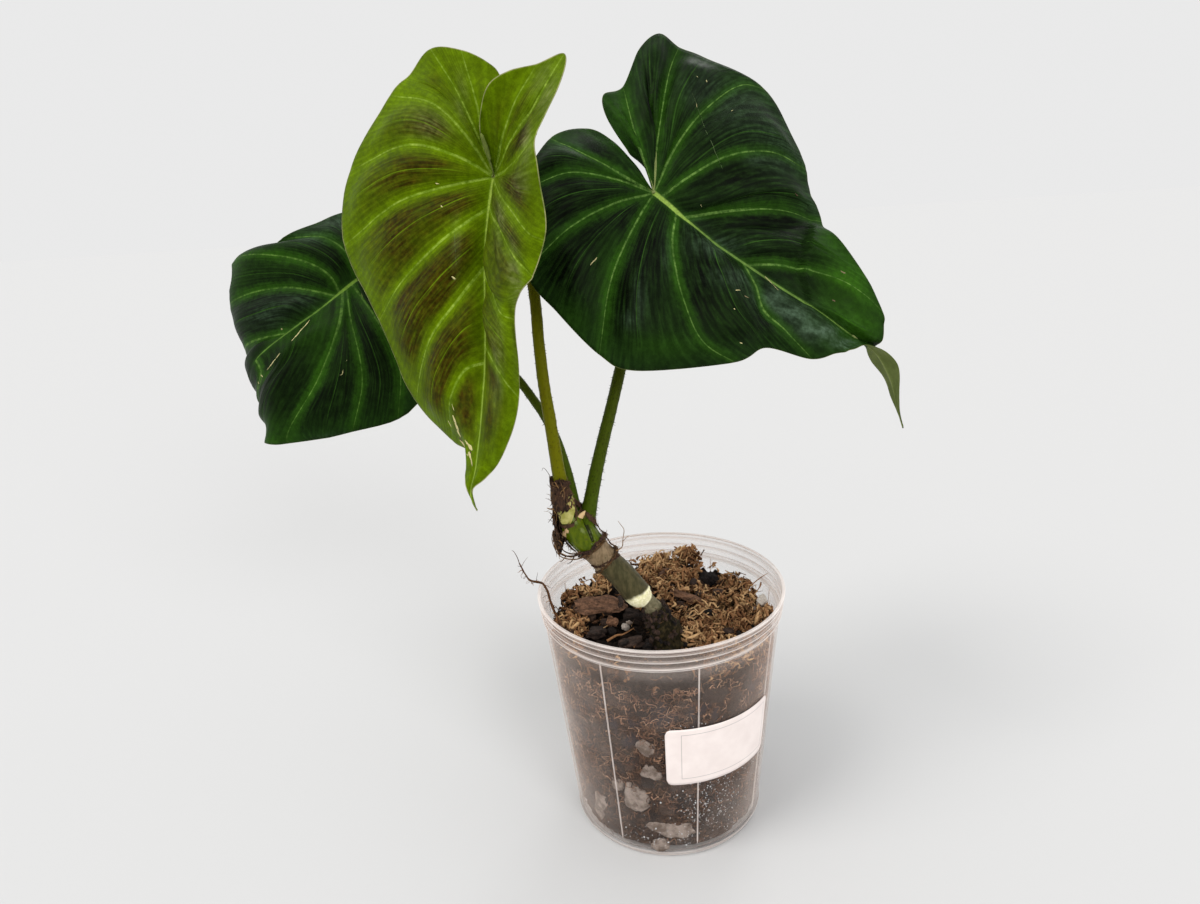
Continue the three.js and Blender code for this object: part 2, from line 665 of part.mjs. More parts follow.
// A closed plate between two grids of points of (rows + 1) x (columns + 1).
function sheetGeometry(back, face, rows, columns) {
  const width = columns + 1;
  const offset = back.length;
  const triangles = [];
  const quad = (p, q, r, s) => triangles.push([p, q, r], [p, r, s]);
  for (let row = 0; row < rows; row++)
    for (let column = 0; column < columns; column++) {
      const a = row * width + column;
      triangles.push([a, a + 1, a + width + 1], [a, a + width + 1, a + width]);
      triangles.push([offset + a, offset + a + width + 1, offset + a + 1]);
      triangles.push([offset + a, offset + a + width, offset + a + width + 1]);
    }
  for (let column = 0; column < columns; column++) {
    const top = rows * width + column;
    quad(column, offset + column, offset + column + 1, column + 1);
    quad(top, top + 1, offset + top + 1, offset + top);
  }
  for (let row = 0; row < rows; row++) {
    const a = row * width;
    const b = a + columns;
    quad(a, a + width, offset + a + width, offset + a);
    quad(b, offset + b, offset + b + width, b + width);
  }
  return geometryOf([...back, ...face], triangles);
}

// Blades

// The lines of one side of a blade, ready to be blended: each is a curve from its place on the midrib.
function bladeSide(midrib, lines) {
  const tip = midrib.getPoint(1);
  const offsets = lines.map(({ station, points }) => {
    const root = midrib.getPointAt(station);
    const curve = new THREE.CatmullRomCurve3([root, ...points]);
    return (share) => curve.getPointAt(share).sub(root);
  });
  offsets.push(() => new THREE.Vector3());
  const stations = [...lines.map((line) => line.station), 1];
  const last = stations.length - 1;
  const stationAt = (place) => Math.min(Math.max(smoothAlong(stations, place, mixNumbers), 0), 1);
  const pointAt = (place, share) => {
    if (place >= last) return tip.clone();
    const i = Math.floor(place);
    const near = [i - 1, i, i + 1, i + 2].map((n) => offsets[Math.min(Math.max(n, 0), last)](share));
    return smoothAlong(near, 1 + place - i, mixVectors).add(midrib.getPointAt(stationAt(place)));
  };
  const placeOf = (station) => {
    let low = 0;
    let high = last;
    for (let i = 0; i < 40; i++) {
      const middle = (low + high) / 2;
      if (stationAt(middle) < station) low = middle;
      else high = middle;
    }
    return high;
  };
  return { last, stationAt, pointAt, placeOf };
}

function bladeGeometry({ midrib: ribPoints, left, right }) {
  const midrib = new THREE.CatmullRomCurve3(ribPoints.map((p) => new THREE.Vector3(...p)));
  const sides = [bladeSide(midrib, left), bladeSide(midrib, right)];
  const fans = sides.map((side) => side.placeOf(FIRST_STATION));
  const shared = sharedStations(sides);
  const points = [];
  const known = new Map();
  const pointIndex = (p) => {
    const key = [p.x, p.y, p.z].map((v) => Math.round(v * 1000)).join();
    if (!known.has(key)) known.set(key, points.push(p) - 1);
    return known.get(key);
  };
  const faces = [];
  const lift = [];
  sides.forEach((side, which) => {
    const fanColumns = Math.round(fans[which] * 2);
    const places = [];
    for (let c = 0; c < fanColumns; c++) places.push((c / fanColumns) * fans[which]);
    places.push(...shared.map((station) => side.placeOf(station)), side.last);
    const grid = places.map((place) => {
      const column = [];
      for (let row = 0; row <= BLADE_ROWS; row++) {
        const share = row / BLADE_ROWS;
        const index = pointIndex(side.pointAt(place, share));
        lift[index] = BLADE_QUILT * Math.sin(Math.PI * share) * Math.sin(Math.PI * (place % 1)) ** 2;
        column.push(index);
      }
      return column;
    });
    for (let c = 0; c < grid.length - 1; c++)
      for (let row = 0; row < BLADE_ROWS; row++) {
        const [a, b] = [grid[c][row], grid[c][row + 1]];
        const [d, e] = [grid[c + 1][row], grid[c + 1][row + 1]];
        for (const face of [[a, b, e], [a, e, d]]) {
          if (new Set(face).size === 3) faces.push(which ? face.reverse() : face);
        }
      }
  });
  return plateGeometry(points, faces, lift);
}

// Both sides meet along the midrib at the same stations: where a line of either side leaves it, and halfway.
function sharedStations(sides) {
  const stations = [];
  for (const side of sides)
    for (let place = 0; place < side.last; place += 0.5) {
      const station = side.stationAt(place);
      if (station > FIRST_STATION + COLUMN_STEP / 2) stations.push(station);
    }
  stations.sort((a, b) => a - b);
  const apart = [FIRST_STATION];
  for (const station of stations)
    if (station - apart.at(-1) > COLUMN_STEP && station < 1 - COLUMN_STEP) apart.push(station);
  return apart;
}

// Thickens an open sheet of triangles to a closed blade, alike on both faces.
function plateGeometry(points, faces, lift) {
  const normals = points.map(() => new THREE.Vector3());
  for (const [a, b, c] of faces) {
    const normal = points[b].clone().sub(points[a]).cross(points[c].clone().sub(points[a]));
    for (const i of [a, b, c]) normals[i].add(normal);
  }
  normals.forEach((n) => n.normalize());
  const half = BLADE_THICKNESS / 2;
  const top = points.map((p, i) => p.clone().addScaledVector(normals[i], lift[i] + half));
  const under = points.map((p, i) => p.clone().addScaledVector(normals[i], lift[i] - half));
  const count = points.length;
  const open = new Map();
  const triangles = [];
  for (const [a, b, c] of faces) {
    triangles.push([a, b, c], [a + count, c + count, b + count]);
    for (const [p, q] of [[a, b], [b, c], [c, a]]) {
      if (!open.delete(q + "," + p)) open.set(p + "," + q, [p, q]);
    }
  }
  for (const [p, q] of open.values()) {
    triangles.push([q, p, p + count], [q, p + count, q + count]);
  }
  return geometryOf([...top, ...under], triangles);
}

// The part

const plant = new THREE.Group();
plant.add(meshOf("pot", potGeometry(), COLOURS.pot));
plant.add(meshOf("label", labelGeometry(), COLOURS.label));
plant.add(meshOf("potting_mix", mixGeometry(), COLOURS.mix));
plant.add(meshOf("stem", limbGeometry(STEM, STEM_SIDES, 2), COLOURS.stem));
plant.add(meshOf("dried_sheath", sheathGeometry(), COLOURS.sheath));
for (const [name, route] of Object.entries(PETIOLES))
  plant.add(meshOf(name, limbGeometry(route, PETIOLE_SIDES, 2), COLOURS.petiole));
for (const [name, route] of Object.entries(ROOTS))
  plant.add(meshOf(name, limbGeometry(route, ROOT_SIDES, 2), COLOURS.root));
for (const [name, blade] of Object.entries(BLADES))
  plant.add(meshOf(name, bladeGeometry(blade), blade.finish));

export default plant;
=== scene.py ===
# Potted velvet-leaf philodendron: three velvety leaves on bristly petioles, a ringed cane in its dry
# sheath, and a coarse mix in a clear nursery pot. Lengths in the tables are millimetres.

import math
import random

import bpy
import numpy as np
from mathutils import Matrix, Vector
from mathutils.kdtree import KDTree


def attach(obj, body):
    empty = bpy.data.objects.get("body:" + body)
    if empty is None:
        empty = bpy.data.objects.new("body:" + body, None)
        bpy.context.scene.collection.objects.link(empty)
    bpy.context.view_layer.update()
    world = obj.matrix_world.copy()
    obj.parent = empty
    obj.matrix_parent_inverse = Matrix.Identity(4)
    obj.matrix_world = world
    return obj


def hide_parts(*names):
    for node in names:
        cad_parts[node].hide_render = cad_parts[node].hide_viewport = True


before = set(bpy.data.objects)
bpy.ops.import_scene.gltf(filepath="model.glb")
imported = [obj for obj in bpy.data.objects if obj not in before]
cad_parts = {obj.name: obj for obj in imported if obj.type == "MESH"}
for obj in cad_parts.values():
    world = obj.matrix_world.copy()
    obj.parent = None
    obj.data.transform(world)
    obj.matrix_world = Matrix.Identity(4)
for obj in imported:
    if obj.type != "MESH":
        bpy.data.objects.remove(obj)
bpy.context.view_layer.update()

MM = 0.001
FULL_TURN = 2 * math.pi

# Camera: fitted to the pot's rim and foot in the photograph, whose frame is 1200 x 904
PHOTO_WIDTH = 1200
PHOTO_HEIGHT = 904
FOCAL_PIXELS = 900
CAMERA_AT = np.array([-25.2, -391.0, 335.0])
CAMERA_PITCH = math.radians(19.81)
CAMERA_ROLL = math.radians(-3.62)

# Pot
POT_HEIGHT = 123.5
FOOT_RADIUS = 46.9
BAND_BOTTOM = 112
BAND_BOTTOM_RADIUS = 57.4
LIP_RADIUS = 60
WALL = 1
FLOOR_THICKNESS = 1.6
FOOT_BEAD = 0.5
BAND_STEP = 0.6
RING_COUNT = 3
RING_SPACING = 3.7
RING_PROUD = 0.45
RING_HEIGHT = 1.3
LIP_HEIGHT = 1.2
RIB_COUNT = 8
RIB_TURN = 12
RIB_HALF = 0.36
RIB_PROUD = 0.28
DRAIN_COUNT = 8
DRAIN_RADIUS = 3.5
DRAIN_CIRCLE = 30

# Label
LABEL_BOTTOM = 45
LABEL_TOP = 77.5
LABEL_MIDDLE = math.radians(27)
LABEL_HALF = math.radians(31.5)
LABEL_CORNER = 3
LABEL_TILT = 2

# Mix
MIX_LEVEL = 104.5
MIX_BACK_RISE = 0.1
MIX_LUMP = 2.6

BLADE_THICKNESS = 0.5

STEM = [
    [5, -19, 87, 7.6], [1, -20, 105, 7.3], [-2.5, -20, 116, 6.2], [-5, -20, 122.5, 4.2],
    [-7.2, -20, 126, 3.6], [-8.6, -20, 127.4, 4.6], [-10.4, -20, 129, 6], [-13, -20, 132, 6.4],
    [-18, -20, 139.5, 6.3], [-23.6, -20, 146.4, 6.2], [-25.6, -20, 148.6, 6.9],
    [-27.3, -20, 150.4, 6.2], [-29.8, -20, 154, 6.4], [-31.4, -20, 156.2, 7.2],
    [-33.2, -19.7, 158.6, 6.8], [-36.5, -19.2, 163.3, 7.2], [-39, -18.7, 167, 6.4],
    [-40.4, -18.8, 170.6, 5.0], [-41.3, -19, 174, 3.6],
]

PETIOLES = {
    "petiole_front": [
        [-38.6, -19.3, 164.8, 3.6], [-40.9, -19.9, 168.6, 3.4], [-41.5, -19.8, 173.4, 3.1],
        [-43.4, -19.3, 187, 3.1], [-45.2, -17, 205, 2.8], [-46.4, -15, 218, 2.7],
        [-47.7, -12, 231, 2.6], [-48.6, -8, 248, 2.5], [-48.9, -5, 267, 2.4], [-50.6, -4, 283, 2.3],
        [-54, -6, 300, 2.2], [-57.6, -11.5, 311.5, 1.9], [-59.8, -19.1, 318.5, 1.2],
    ],
    "petiole_left": [
        [-36.6, -16, 164.8, 3], [-37.6, -13.4, 170, 2.6], [-39.8, -9.6, 184, 2.3],
        [-43.4, -4.4, 198.5, 2.2], [-48, 0.8, 210, 2.1], [-54.7, 6.4, 220.3, 2],
        [-62.1, 12, 229.6, 2], [-75.3, 20, 243, 2], [-95.8, 30, 259, 1.9], [-114.4, 37, 269.5, 1.9],
        [-126, 40.4, 274.5, 1.7], [-131, 37.6, 276, 1.2],
    ],
    "petiole_right": [
        [-35.6, -19.4, 161.4, 3.8], [-34, -18.4, 165.6, 4.2], [-32.4, -17, 170.6, 3.7],
        [-30.6, -14, 177, 3.2], [-27.6, -11, 188.5, 3], [-23.5, -8, 202.5, 2.8],
        [-19, -4, 216, 2.7], [-13.9, 2, 232, 2.6], [-8.1, 9, 250.5, 2.5], [-2.4, 15, 269.5, 2.4],
        [2.1, 18.5, 286.5, 2.3], [4.6, 18, 300, 2], [5.2, 13.6, 306.6, 1.3],
    ],
}

ROOT_OVER_RIM = [
    [-44, -6, 99, 0.8], [-49, -4, 105.5, 0.9], [-52, 0.5, 110, 0.9], [-54.2, 3, 116, 0.9],
    [-55.4, 4.4, 121.4, 0.8], [-57.4, 5.2, 125.2, 0.8], [-60.4, 6.2, 126, 0.7],
    [-63.8, 7, 126.8, 0.7], [-66, 7.8, 130, 0.6], [-68.4, 9, 135.4, 0.5],
]

# Each blade grows from its attachment, the midrib's first point. A side is listed from the notch
# between the lobes round to the tip. Each of its lines leaves the midrib at a share of the midrib's
# length and runs out to the margin.
BLADES = {
    "leaf_front": {
        "midrib": [
            [-60, -20, 319], [-63, -31, 304], [-65, -38, 288], [-66, -46, 268], [-68, -54, 246],
            [-71, -60, 228], [-74, -63, 213], [-77, -63, 202], [-76, -58, 193],
        ],
        "left": [
            ("edge", 0, [-57, -19, 324], [-55, -17, 329]),
            ("edge", 0, [-56, -17, 331], [-52, -12, 341]),
            ("edge", 0, [-58, -14, 336], [-55, -5, 356]),
            ("edge", 0, [-61, -14, 340], [-60, -4, 362]),
            ("vein", 0, [-63, -16, 330], [-65, -10, 346], [-70, -2, 367]),
            ("vein", 0, [-64, -16, 333], [-71, -10, 349], [-82, -1, 368]),
            ("edge", 0, [-68, -18, 336], [-77, -12, 349], [-91, -3, 359]),
            ("vein", 0, [-70, -20, 336], [-81, -15, 347], [-100, -3, 352]),
            ("vein", 0, [-72, -22, 327], [-92, -18, 333], [-120, -3, 324]),
            ("vein", 0, [-77, -25, 317], [-98, -21, 312], [-126, -7, 295]),
            ("vein", 0.1, [-72, -34, 303], [-84, -34, 295], [-99, -29, 282], [-113, -19, 265]),
            ("vein", 0.27, [-75, -42, 277], [-90, -40, 259], [-100, -30, 232]),
            ("vein", 0.54, [-75, -51, 250], [-83, -49, 237], [-85, -45, 219]),
            ("edge", 0.68, [-73, -57, 229], [-78, -55, 223], [-78, -53, 217]),
            ("edge", 0.82, [-76, -61, 214], [-79, -59, 209]),
            ("edge", 0.93, [-78, -63, 204]),
        ],
        "right": [
            ("edge", 0, [-60, -25, 324], [-61, -28, 330]),
            ("edge", 0, [-61, -27, 329], [-62, -34, 339]),
            ("edge", 0, [-58, -31, 335], [-58, -37, 351]),
            ("edge", 0, [-55, -33, 336], [-50, -37, 356]),
            ("vein", 0, [-54, -33, 334], [-48, -38, 346], [-39, -37, 358]),
            ("vein", 0, [-52, -36, 331], [-42, -44, 344], [-29, -36, 361]),
            ("edge", 0, [-52, -38, 328], [-43, -48, 338], [-31, -45, 351]),
            ("vein", 0, [-53, -40, 323], [-47, -54, 327], [-40, -60, 334]),
            ("edge", 0, [-53, -42, 320], [-47, -58, 320], [-40, -66, 323]),
            ("edge", 0, [-54, -43, 317], [-47, -59, 313], [-39, -68, 307]),
            ("vein", 0.01, [-56, -44, 313], [-51, -58, 308], [-45, -68, 301], [-40, -70, 299]),
            ("vein", 0.1, [-57, -50, 301], [-52, -65, 294], [-45, -72, 287]),
            ("edge", 0.22, [-60, -56, 282], [-56, -66, 279], [-50, -70, 281]),
            ("vein", 0.3, [-61, -57, 280], [-57, -66, 273], [-53, -66, 271]),
            ("vein", 0.5, [-63, -61, 256], [-59, -69, 250], [-54, -68, 242]),
            ("edge", 0.78, [-69, -65, 221], [-65, -68, 218], [-63, -67, 218]),
            ("edge", 0.86, [-72, -66, 213], [-70, -66, 210]),
            ("edge", 0.94, [-76, -64, 204]),
        ],
    },
    "leaf_right": {
        "midrib": [
            [5, 10, 307], [14, 9, 299], [23, 7, 291], [35, 5, 281], [46, 4, 273], [60, 3, 263],
            [75, 1, 253], [89, 2, 242], [101, 8, 234], [108, 11, 225], [113, 12, 215],
            [116, 12, 205], [119, 10, 193],
        ],
        "left": [
            ("edge", 0, [2, 9, 310], [1, 10, 312]),
            ("edge", 0, [1, 10, 312.5], [-3, 14, 317.8]),
            ("edge", 0, [-1, 8, 315], [-11.4, 17, 328.6]),
            ("edge", 0, [-6, 7, 318], [-22, 19, 335]),
            ("vein", 0, [-11, 4, 317], [-30, 6, 328], [-38, 12, 332]),
            ("vein", 0, [-12, 3, 314], [-31, -2, 318], [-51, -3, 312]),
            ("vein", 0, [-12, -2, 305], [-32, -14, 297], [-51, -20, 282]),
            ("edge", 0, [-9, -2, 301], [-28, -19, 285], [-39, -26, 265]),
            ("vein", 0, [-2, 0, 299], [-16, -22, 277], [-23, -33, 248]),
            ("edge", 0.03, [2, -2, 294], [-7, -22, 272], [-8, -32, 240]),
            ("vein", 0.075, [11, -3, 287], [13, -19, 266], [20, -24, 249], [34, -20, 238]),
            ("edge", 0.17, [28, -3, 278], [33, -14, 261], [49, -15, 242]),
            ("vein", 0.29, [46, -1, 268], [50, -8, 258], [57, -12, 249], [69, -12, 235]),
            ("edge", 0.41, [65, -2, 257], [72, -8, 247], [80, -9, 236]),
            ("edge", 0.53, [79, -3, 247], [84.7, -9, 236.5]),
            ("edge", 0.62, [86, -4, 238], [88, -8, 238]),
            ("edge", 0.7, [96, 0, 237]),
            ("edge", 0.75, [105, 3, 233]),
            ("edge", 0.82, [113, 6, 225]),
            ("edge", 0.89, [115, 8, 213]),
            ("edge", 0.95, [116, 9, 202]),
        ],
        "right": [
            ("edge", 0, [5, 11, 310], [5, 13, 312]),
            ("edge", 0, [4, 11, 314], [3, 15, 318]),
            ("edge", 0, [3, 12, 319], [-5, 17, 325]),
            ("edge", 0, [2, 11, 321], [-5, 17, 333], [-13, 25, 339]),
            ("edge", 0, [2, 12, 322], [-5, 19, 336], [-14, 29, 348]),
            ("vein", 0, [1, 10, 321], [-2, 18, 333], [-5, 35, 351]),
            ("edge", 0, [6, 16, 324], [5, 25, 343], [4, 48, 367]),
            ("edge", 0, [7, 16, 325], [7, 27, 344], [13, 52, 373]),
            ("vein", 0, [7, 16, 324], [11, 27, 340], [17, 44, 358], [22, 52, 367]),
            ("edge", 0, [11, 17, 322], [17, 28, 342], [33, 51, 362]),
            ("vein", 0, [16, 20, 325], [30, 33, 339], [50, 50, 349], [61, 54, 347]),
            ("edge", 0.012, [21, 16, 316], [47, 32, 327], [75, 44, 320]),
            ("vein", 0.02, [21, 14, 313], [39, 22, 320], [60, 34, 320], [78, 42, 311]),
            ("edge", 0.05, [27, 11, 303], [51, 25, 309], [79, 41, 304]),
            ("edge", 0.08, [30, 12, 300], [56, 26, 302], [80, 34, 297]),
            ("edge", 0.09, [34, 13, 299], [63, 27, 299], [89, 35, 291]),
            ("vein", 0.1, [38, 14, 297], [58, 24, 296], [71, 27, 293], [82, 28, 287]),
            ("edge", 0.2, [46, 11, 287], [70, 17, 282], [88, 19, 282]),
            ("edge", 0.26, [57, 8, 278], [78, 13, 275], [98, 13, 266]),
            ("vein", 0.3, [57, 5, 274], [72, 8, 270], [86, 9, 265], [98, 8, 257], [105, 6, 250]),
            ("edge", 0.42, [74, 2, 258], [90, 2, 249], [105, 4, 244]),
            ("edge", 0.52, [82, 0, 251], [94, -1, 244], [104, 2, 238]),
            ("edge", 0.6, [95, 3, 239], [103, 8, 234]),
            ("edge", 0.68, [101, 13, 231]),
            ("edge", 0.75, [104, 17, 225]),
            ("edge", 0.82, [110, 18, 217]),
            ("edge", 0.89, [113, 16, 209]),
            ("edge", 0.95, [116, 13, 201]),
        ],
    },
    "leaf_left": {
        "midrib": [
            [-133, 34, 275], [-141, 33, 270], [-153, 30, 262], [-165, 29, 255], [-178, 28, 247],
            [-188, 30, 239], [-194, 33, 230], [-192, 44, 218], [-184, 57, 208], [-175, 68, 200],
        ],
        "left": [
            ("edge", 0, [-131, 35, 276], [-128, 37, 279]),
            ("edge", 0, [-129, 37, 282], [-121, 43, 290]),
            ("edge", 0, [-131, 39, 288], [-124, 51, 304]),
            ("vein", 0, [-133, 37, 287], [-138, 53, 304]),
            ("edge", 0, [-135, 38, 289], [-140, 43, 296], [-154, 53, 300]),
            ("vein", 0, [-137, 37, 287], [-148, 43, 294], [-171, 53, 294]),
            (
                "vein", 0.08,
                [-146, 34, 278], [-160, 39, 285], [-184, 47, 288], [-198, 60, 284], [-193, 74, 277],
            ),
            (
                "vein", 0.1,
                [-150, 33, 270], [-159, 35, 272], [-169, 38, 273], [-189, 44, 270],
                [-203, 55, 263], [-196, 80, 250],
            ),
            ("edge", 0.22, [-166, 32, 265], [-186, 37, 261], [-201, 50, 254], [-194, 81, 234]),
            ("vein", 0.33, [-173, 31, 252], [-186, 37, 249], [-199, 47, 243], [-191, 78, 219]),
            ("edge", 0.5, [-190, 34, 245], [-197, 42, 236], [-186, 75, 209]),
            ("edge", 0.74, [-191, 52, 223], [-182, 73, 204]),
            ("edge", 0.88, [-178, 71, 200]),
        ],
        "right": [
            ("edge", 0, [-130, 33, 273], [-127, 33, 272]),
            ("edge", 0, [-124, 27, 270], [-115, 28, 267]),
            ("edge", 0, [-123, 22, 262], [-105, 20, 252]),
            ("edge", 0.01, [-128, 23, 265], [-113, 12, 247], [-100, 11, 234]),
            ("edge", 0.02, [-126, 22, 264], [-112, 11, 244], [-107, 7, 221]),
            ("vein", 0.03, [-129, 23, 266], [-120, 14, 252], [-115, 10, 235], [-119, 8, 213]),
            ("vein", 0.05, [-136, 23, 258], [-132, 13, 242], [-132, 10, 230], [-139, 8, 209]),
            ("edge", 0.06, [-139, 23, 257], [-141, 13, 237], [-154, 9, 206]),
            ("vein", 0.07, [-142, 23, 257], [-153, 15, 234], [-169, 11, 212], [-175, 13, 203]),
            ("edge", 0.2, [-158, 23, 248], [-171, 16, 228], [-186, 19, 203]),
            ("edge", 0.34, [-169, 23, 244], [-183, 21, 225], [-190, 26, 214], [-182, 36, 202]),
            ("vein", 0.48, [-182, 25, 234], [-190, 29, 225], [-187, 41, 208], [-178, 50, 198]),
            ("edge", 0.7, [-186, 50, 210], [-174, 58, 197]),
            ("edge", 0.86, [-180, 61, 203], [-173, 65, 198]),
        ],
    },
}


# Numbers

def lerp(a, b, share):
    return a + (b - a) * share


def ramp(low, high, value):
    """0 below low, 1 above high, smooth between; low may be above high."""
    t = np.clip((np.asarray(value, float) - low) / (high - low), 0, 1)
    return t * t * (3 - 2 * t)


def noise(points, size, seed=0):
    """Smooth noise from -1 to 1 at points (mm), with features about size mm across."""
    p = np.asarray(points, float) / size + seed * 17.31
    cell = np.floor(p).astype(np.int64)
    t = p - cell
    t = t * t * (3 - 2 * t)
    total = 0
    for corner in range(8):
        step = np.array([corner & 1, corner >> 1 & 1, corner >> 2 & 1])
        key = ((cell + step) * np.array([73856093, 19349663, 83492791])).sum(-1) & 0xFFFFFFFF
        key = (key ^ (key >> 15)) * 2246822519 & 0xFFFFFFFF
        key = (key ^ (key >> 13)) * 3266489917 & 0xFFFFFFFF
        value = ((key ^ (key >> 16)) & 0xFFFF) / 32768 - 1
        total = total + value * np.prod(np.where(step, t, 1 - t), axis=-1)
    return total


def unit(v):
    v = np.asarray(v, float)
    return v / np.maximum(np.linalg.norm(v, axis=-1, keepdims=True), 1e-9)


def smooth_along(values, places):
    """Values that pass smoothly through every entry of a list, at places between 0 and its last index."""
    values = np.asarray(values, float)
    last = len(values) - 1
    i = np.clip(np.floor(places).astype(int), 0, last - 1)
    t = np.asarray(places, float) - i
    weights = [
        -0.5 * t + t**2 - 0.5 * t**3,
        1 - 2.5 * t**2 + 1.5 * t**3,
        0.5 * t + 2 * t**2 - 1.5 * t**3,
        -0.5 * t**2 + 0.5 * t**3,
    ]
    total = 0
    for step, weight in zip((-1, 0, 1, 2), weights):
        entry = values[np.clip(i + step, 0, last)]
        total = total + entry * weight.reshape(weight.shape + (1,) * (entry.ndim - weight.ndim))
    return total


def cross_noise(rng, size):
    """A random step of up to size along each axis."""
    return np.array([rng.uniform(-size, size) for _ in range(3)])


def settled(line, rounds):
    """A line whose inner points are drawn between their neighbours, a few times."""
    for _ in range(rounds):
        line[1:-1] = (line[:-2] + 2 * line[1:-1] + line[2:]) / 4
    return line


def curve_through(points, count=240):
    """A smooth curve through points, as a function of the share of its length, and that length."""
    p = np.asarray(points, float)
    p = np.vstack([2 * p[0] - p[1], p, 2 * p[-1] - p[-2]])
    place = np.linspace(0, len(p) - 3, count + 1)
    i = np.minimum(place.astype(int), len(p) - 4)
    w = (place - i)[:, None]
    a, b, c, d = p[i], p[i + 1], p[i + 2], p[i + 3]
    spans = [np.sqrt(np.linalg.norm(v - u, axis=1, keepdims=True)) for u, v in ((a, b), (b, c), (c, d))]
    first, middle, third = spans
    leave = ((b - a) / first - (c - a) / (first + middle) + (c - b) / middle) * middle
    arrive = ((c - b) / middle - (d - b) / (middle + third) + (d - c) / third) * middle
    square = -3 * b + 3 * c - 2 * leave - arrive
    cube = 2 * b - 2 * c + leave + arrive
    line = b + leave * w + square * w**2 + cube * w**3
    length = np.concatenate([[0], np.cumsum(np.linalg.norm(np.diff(line, axis=0), axis=1))])

    def at(shares):
        reach = np.asarray(shares, float) * length[-1]
        return np.stack([np.interp(reach, length, line[:, k]) for k in range(3)], -1)

    return at, length[-1]


# Meshes

def mesh_object(name, points, faces, attributes=None, smooth=True):
    """A mesh object from points in mm and triangles or quads, with floats on its points or face corners."""
    faces = np.asarray(faces, np.int32)
    data = bpy.data.meshes.new(name)
    data.vertices.add(len(points))
    data.vertices.foreach_set("co", (np.asarray(points, float) * MM).astype(np.float32).ravel())
    corners = faces.shape[1]
    data.loops.add(faces.size)
    data.loops.foreach_set("vertex_index", faces.ravel())
    data.polygons.add(len(faces))
    data.polygons.foreach_set("loop_start", np.arange(0, faces.size, corners, dtype=np.int32))
    data.polygons.foreach_set("use_smooth", np.full(len(faces), smooth))
    for key, values in (attributes or {}).items():
        values = np.asarray(values, np.float32)
        layer = data.attributes.new(key, "FLOAT", "POINT" if values.size == len(points) else "CORNER")
        layer.data.foreach_set("value", values.ravel())
    data.update(calc_edges=True)
    data.validate()
    made = bpy.data.objects.new(name, data)
    bpy.context.collection.objects.link(made)
    return made


class Heap:
    """Many small closed bodies gathered into one mesh."""

    def __init__(self):
        self.points, self.faces, self.attributes, self.count = [], [], {}, 0

    def add(self, points, faces, **attributes):
        self.points.append(np.asarray(points, float))
        self.faces.append(np.asarray(faces, int) + self.count)
        self.count += len(points)
        for key, value in attributes.items():
            full = np.broadcast_to(np.asarray(value, float), (len(points),))
            self.attributes.setdefault(key, []).append(full)

    def object(self, name, smooth=True):
        joined = {key: np.concatenate(parts) for key, parts in self.attributes.items()}
        return mesh_object(name, np.vstack(self.points), np.vstack(self.faces), joined, smooth)


def finish(piece, material, slot, *nodes):
    """Gives a piece its material and its place in the part."""
    piece.data.materials.append(material)
    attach(piece, "root")
    if nodes:
        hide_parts(*nodes)
    return piece


def ring_faces(rings, sides, closed=True):
    """Triangles of a tube of rings x sides points, with its two ends capped by a fan."""
    faces = []
    for ring in range(rings - 1):
        a = ring * sides + np.arange(sides)
        b = ring * sides + (np.arange(sides) + 1) % sides
        faces.append(np.stack([a, b, b + sides], 1))
        faces.append(np.stack([a, b + sides, a + sides], 1))
    if closed:
        k = np.arange(1, sides - 1)
        top = (rings - 1) * sides
        faces.append(np.stack([0 * k, k + 1, k], 1))
        faces.append(np.stack([0 * k + top, top + k, top + k + 1], 1))
    return np.vstack(faces)


def tube(route, sides, steps_per_point, start_side=(0, 1, 0)):
    """Rings along a route of [x, y, z, radius]: their middles, courses, outward ways, radii and places."""
    route = np.asarray(route, float)
    last = len(route) - 1
    places = np.linspace(0, last, last * steps_per_point + 1)
    here = smooth_along(route[:, :3], places)
    along = smooth_along(route[:, :3], np.minimum(places + 0.05, last))
    along = unit(along - smooth_along(route[:, :3], np.maximum(places - 0.05, 0)))
    side = np.array(start_side, float)
    angles = circle(sides)
    outward = []
    for direction in along:
        side = unit(side - direction * side.dot(direction))
        across = np.cross(direction, side)
        outward.append(np.outer(np.cos(angles), side) + np.outer(np.sin(angles), across))
    radii = smooth_along(route[:, 3], places)
    return here, along, np.array(outward), radii, places


def tube_points(here, outward, radii):
    """Points of a tube whose radius may differ at every ring and side."""
    return (here[:, None] + outward * np.asarray(radii).reshape(len(here), -1, 1)).reshape(-1, 3)


def circle(sides):
    """The angles of the corners of a many-sided ring."""
    return np.arange(sides) / sides * 2 * math.pi


def open_edges(faces):
    """The directed edges that only one face has."""
    edges = np.vstack([faces[:, [0, 1]], faces[:, [1, 2]], faces[:, [2, 0]]]).astype(np.int64)
    big = edges.max() + 1
    forward, backward = edges[:, 0] * big + edges[:, 1], edges[:, 1] * big + edges[:, 0]
    return edges[~np.isin(forward, backward)]


def rim_walls(faces, count):
    """Triangles that join the open edges of a sheet to those of its copy, count points later."""
    border = open_edges(faces)
    first = np.stack([border[:, 1], border[:, 0], border[:, 0] + count], 1)
    second = np.stack([border[:, 1], border[:, 0] + count, border[:, 1] + count], 1)
    return np.vstack([first, second])


# Shader graphs

def linear(r, g, b):
    """A colour given as 8-bit sRGB."""
    channels = []
    for c in (r, g, b):
        channels.append(((c / 255 + 0.055) / 1.055) ** 2.4 if c > 10 else c / 255 / 12.92)
    return (*channels, 1)


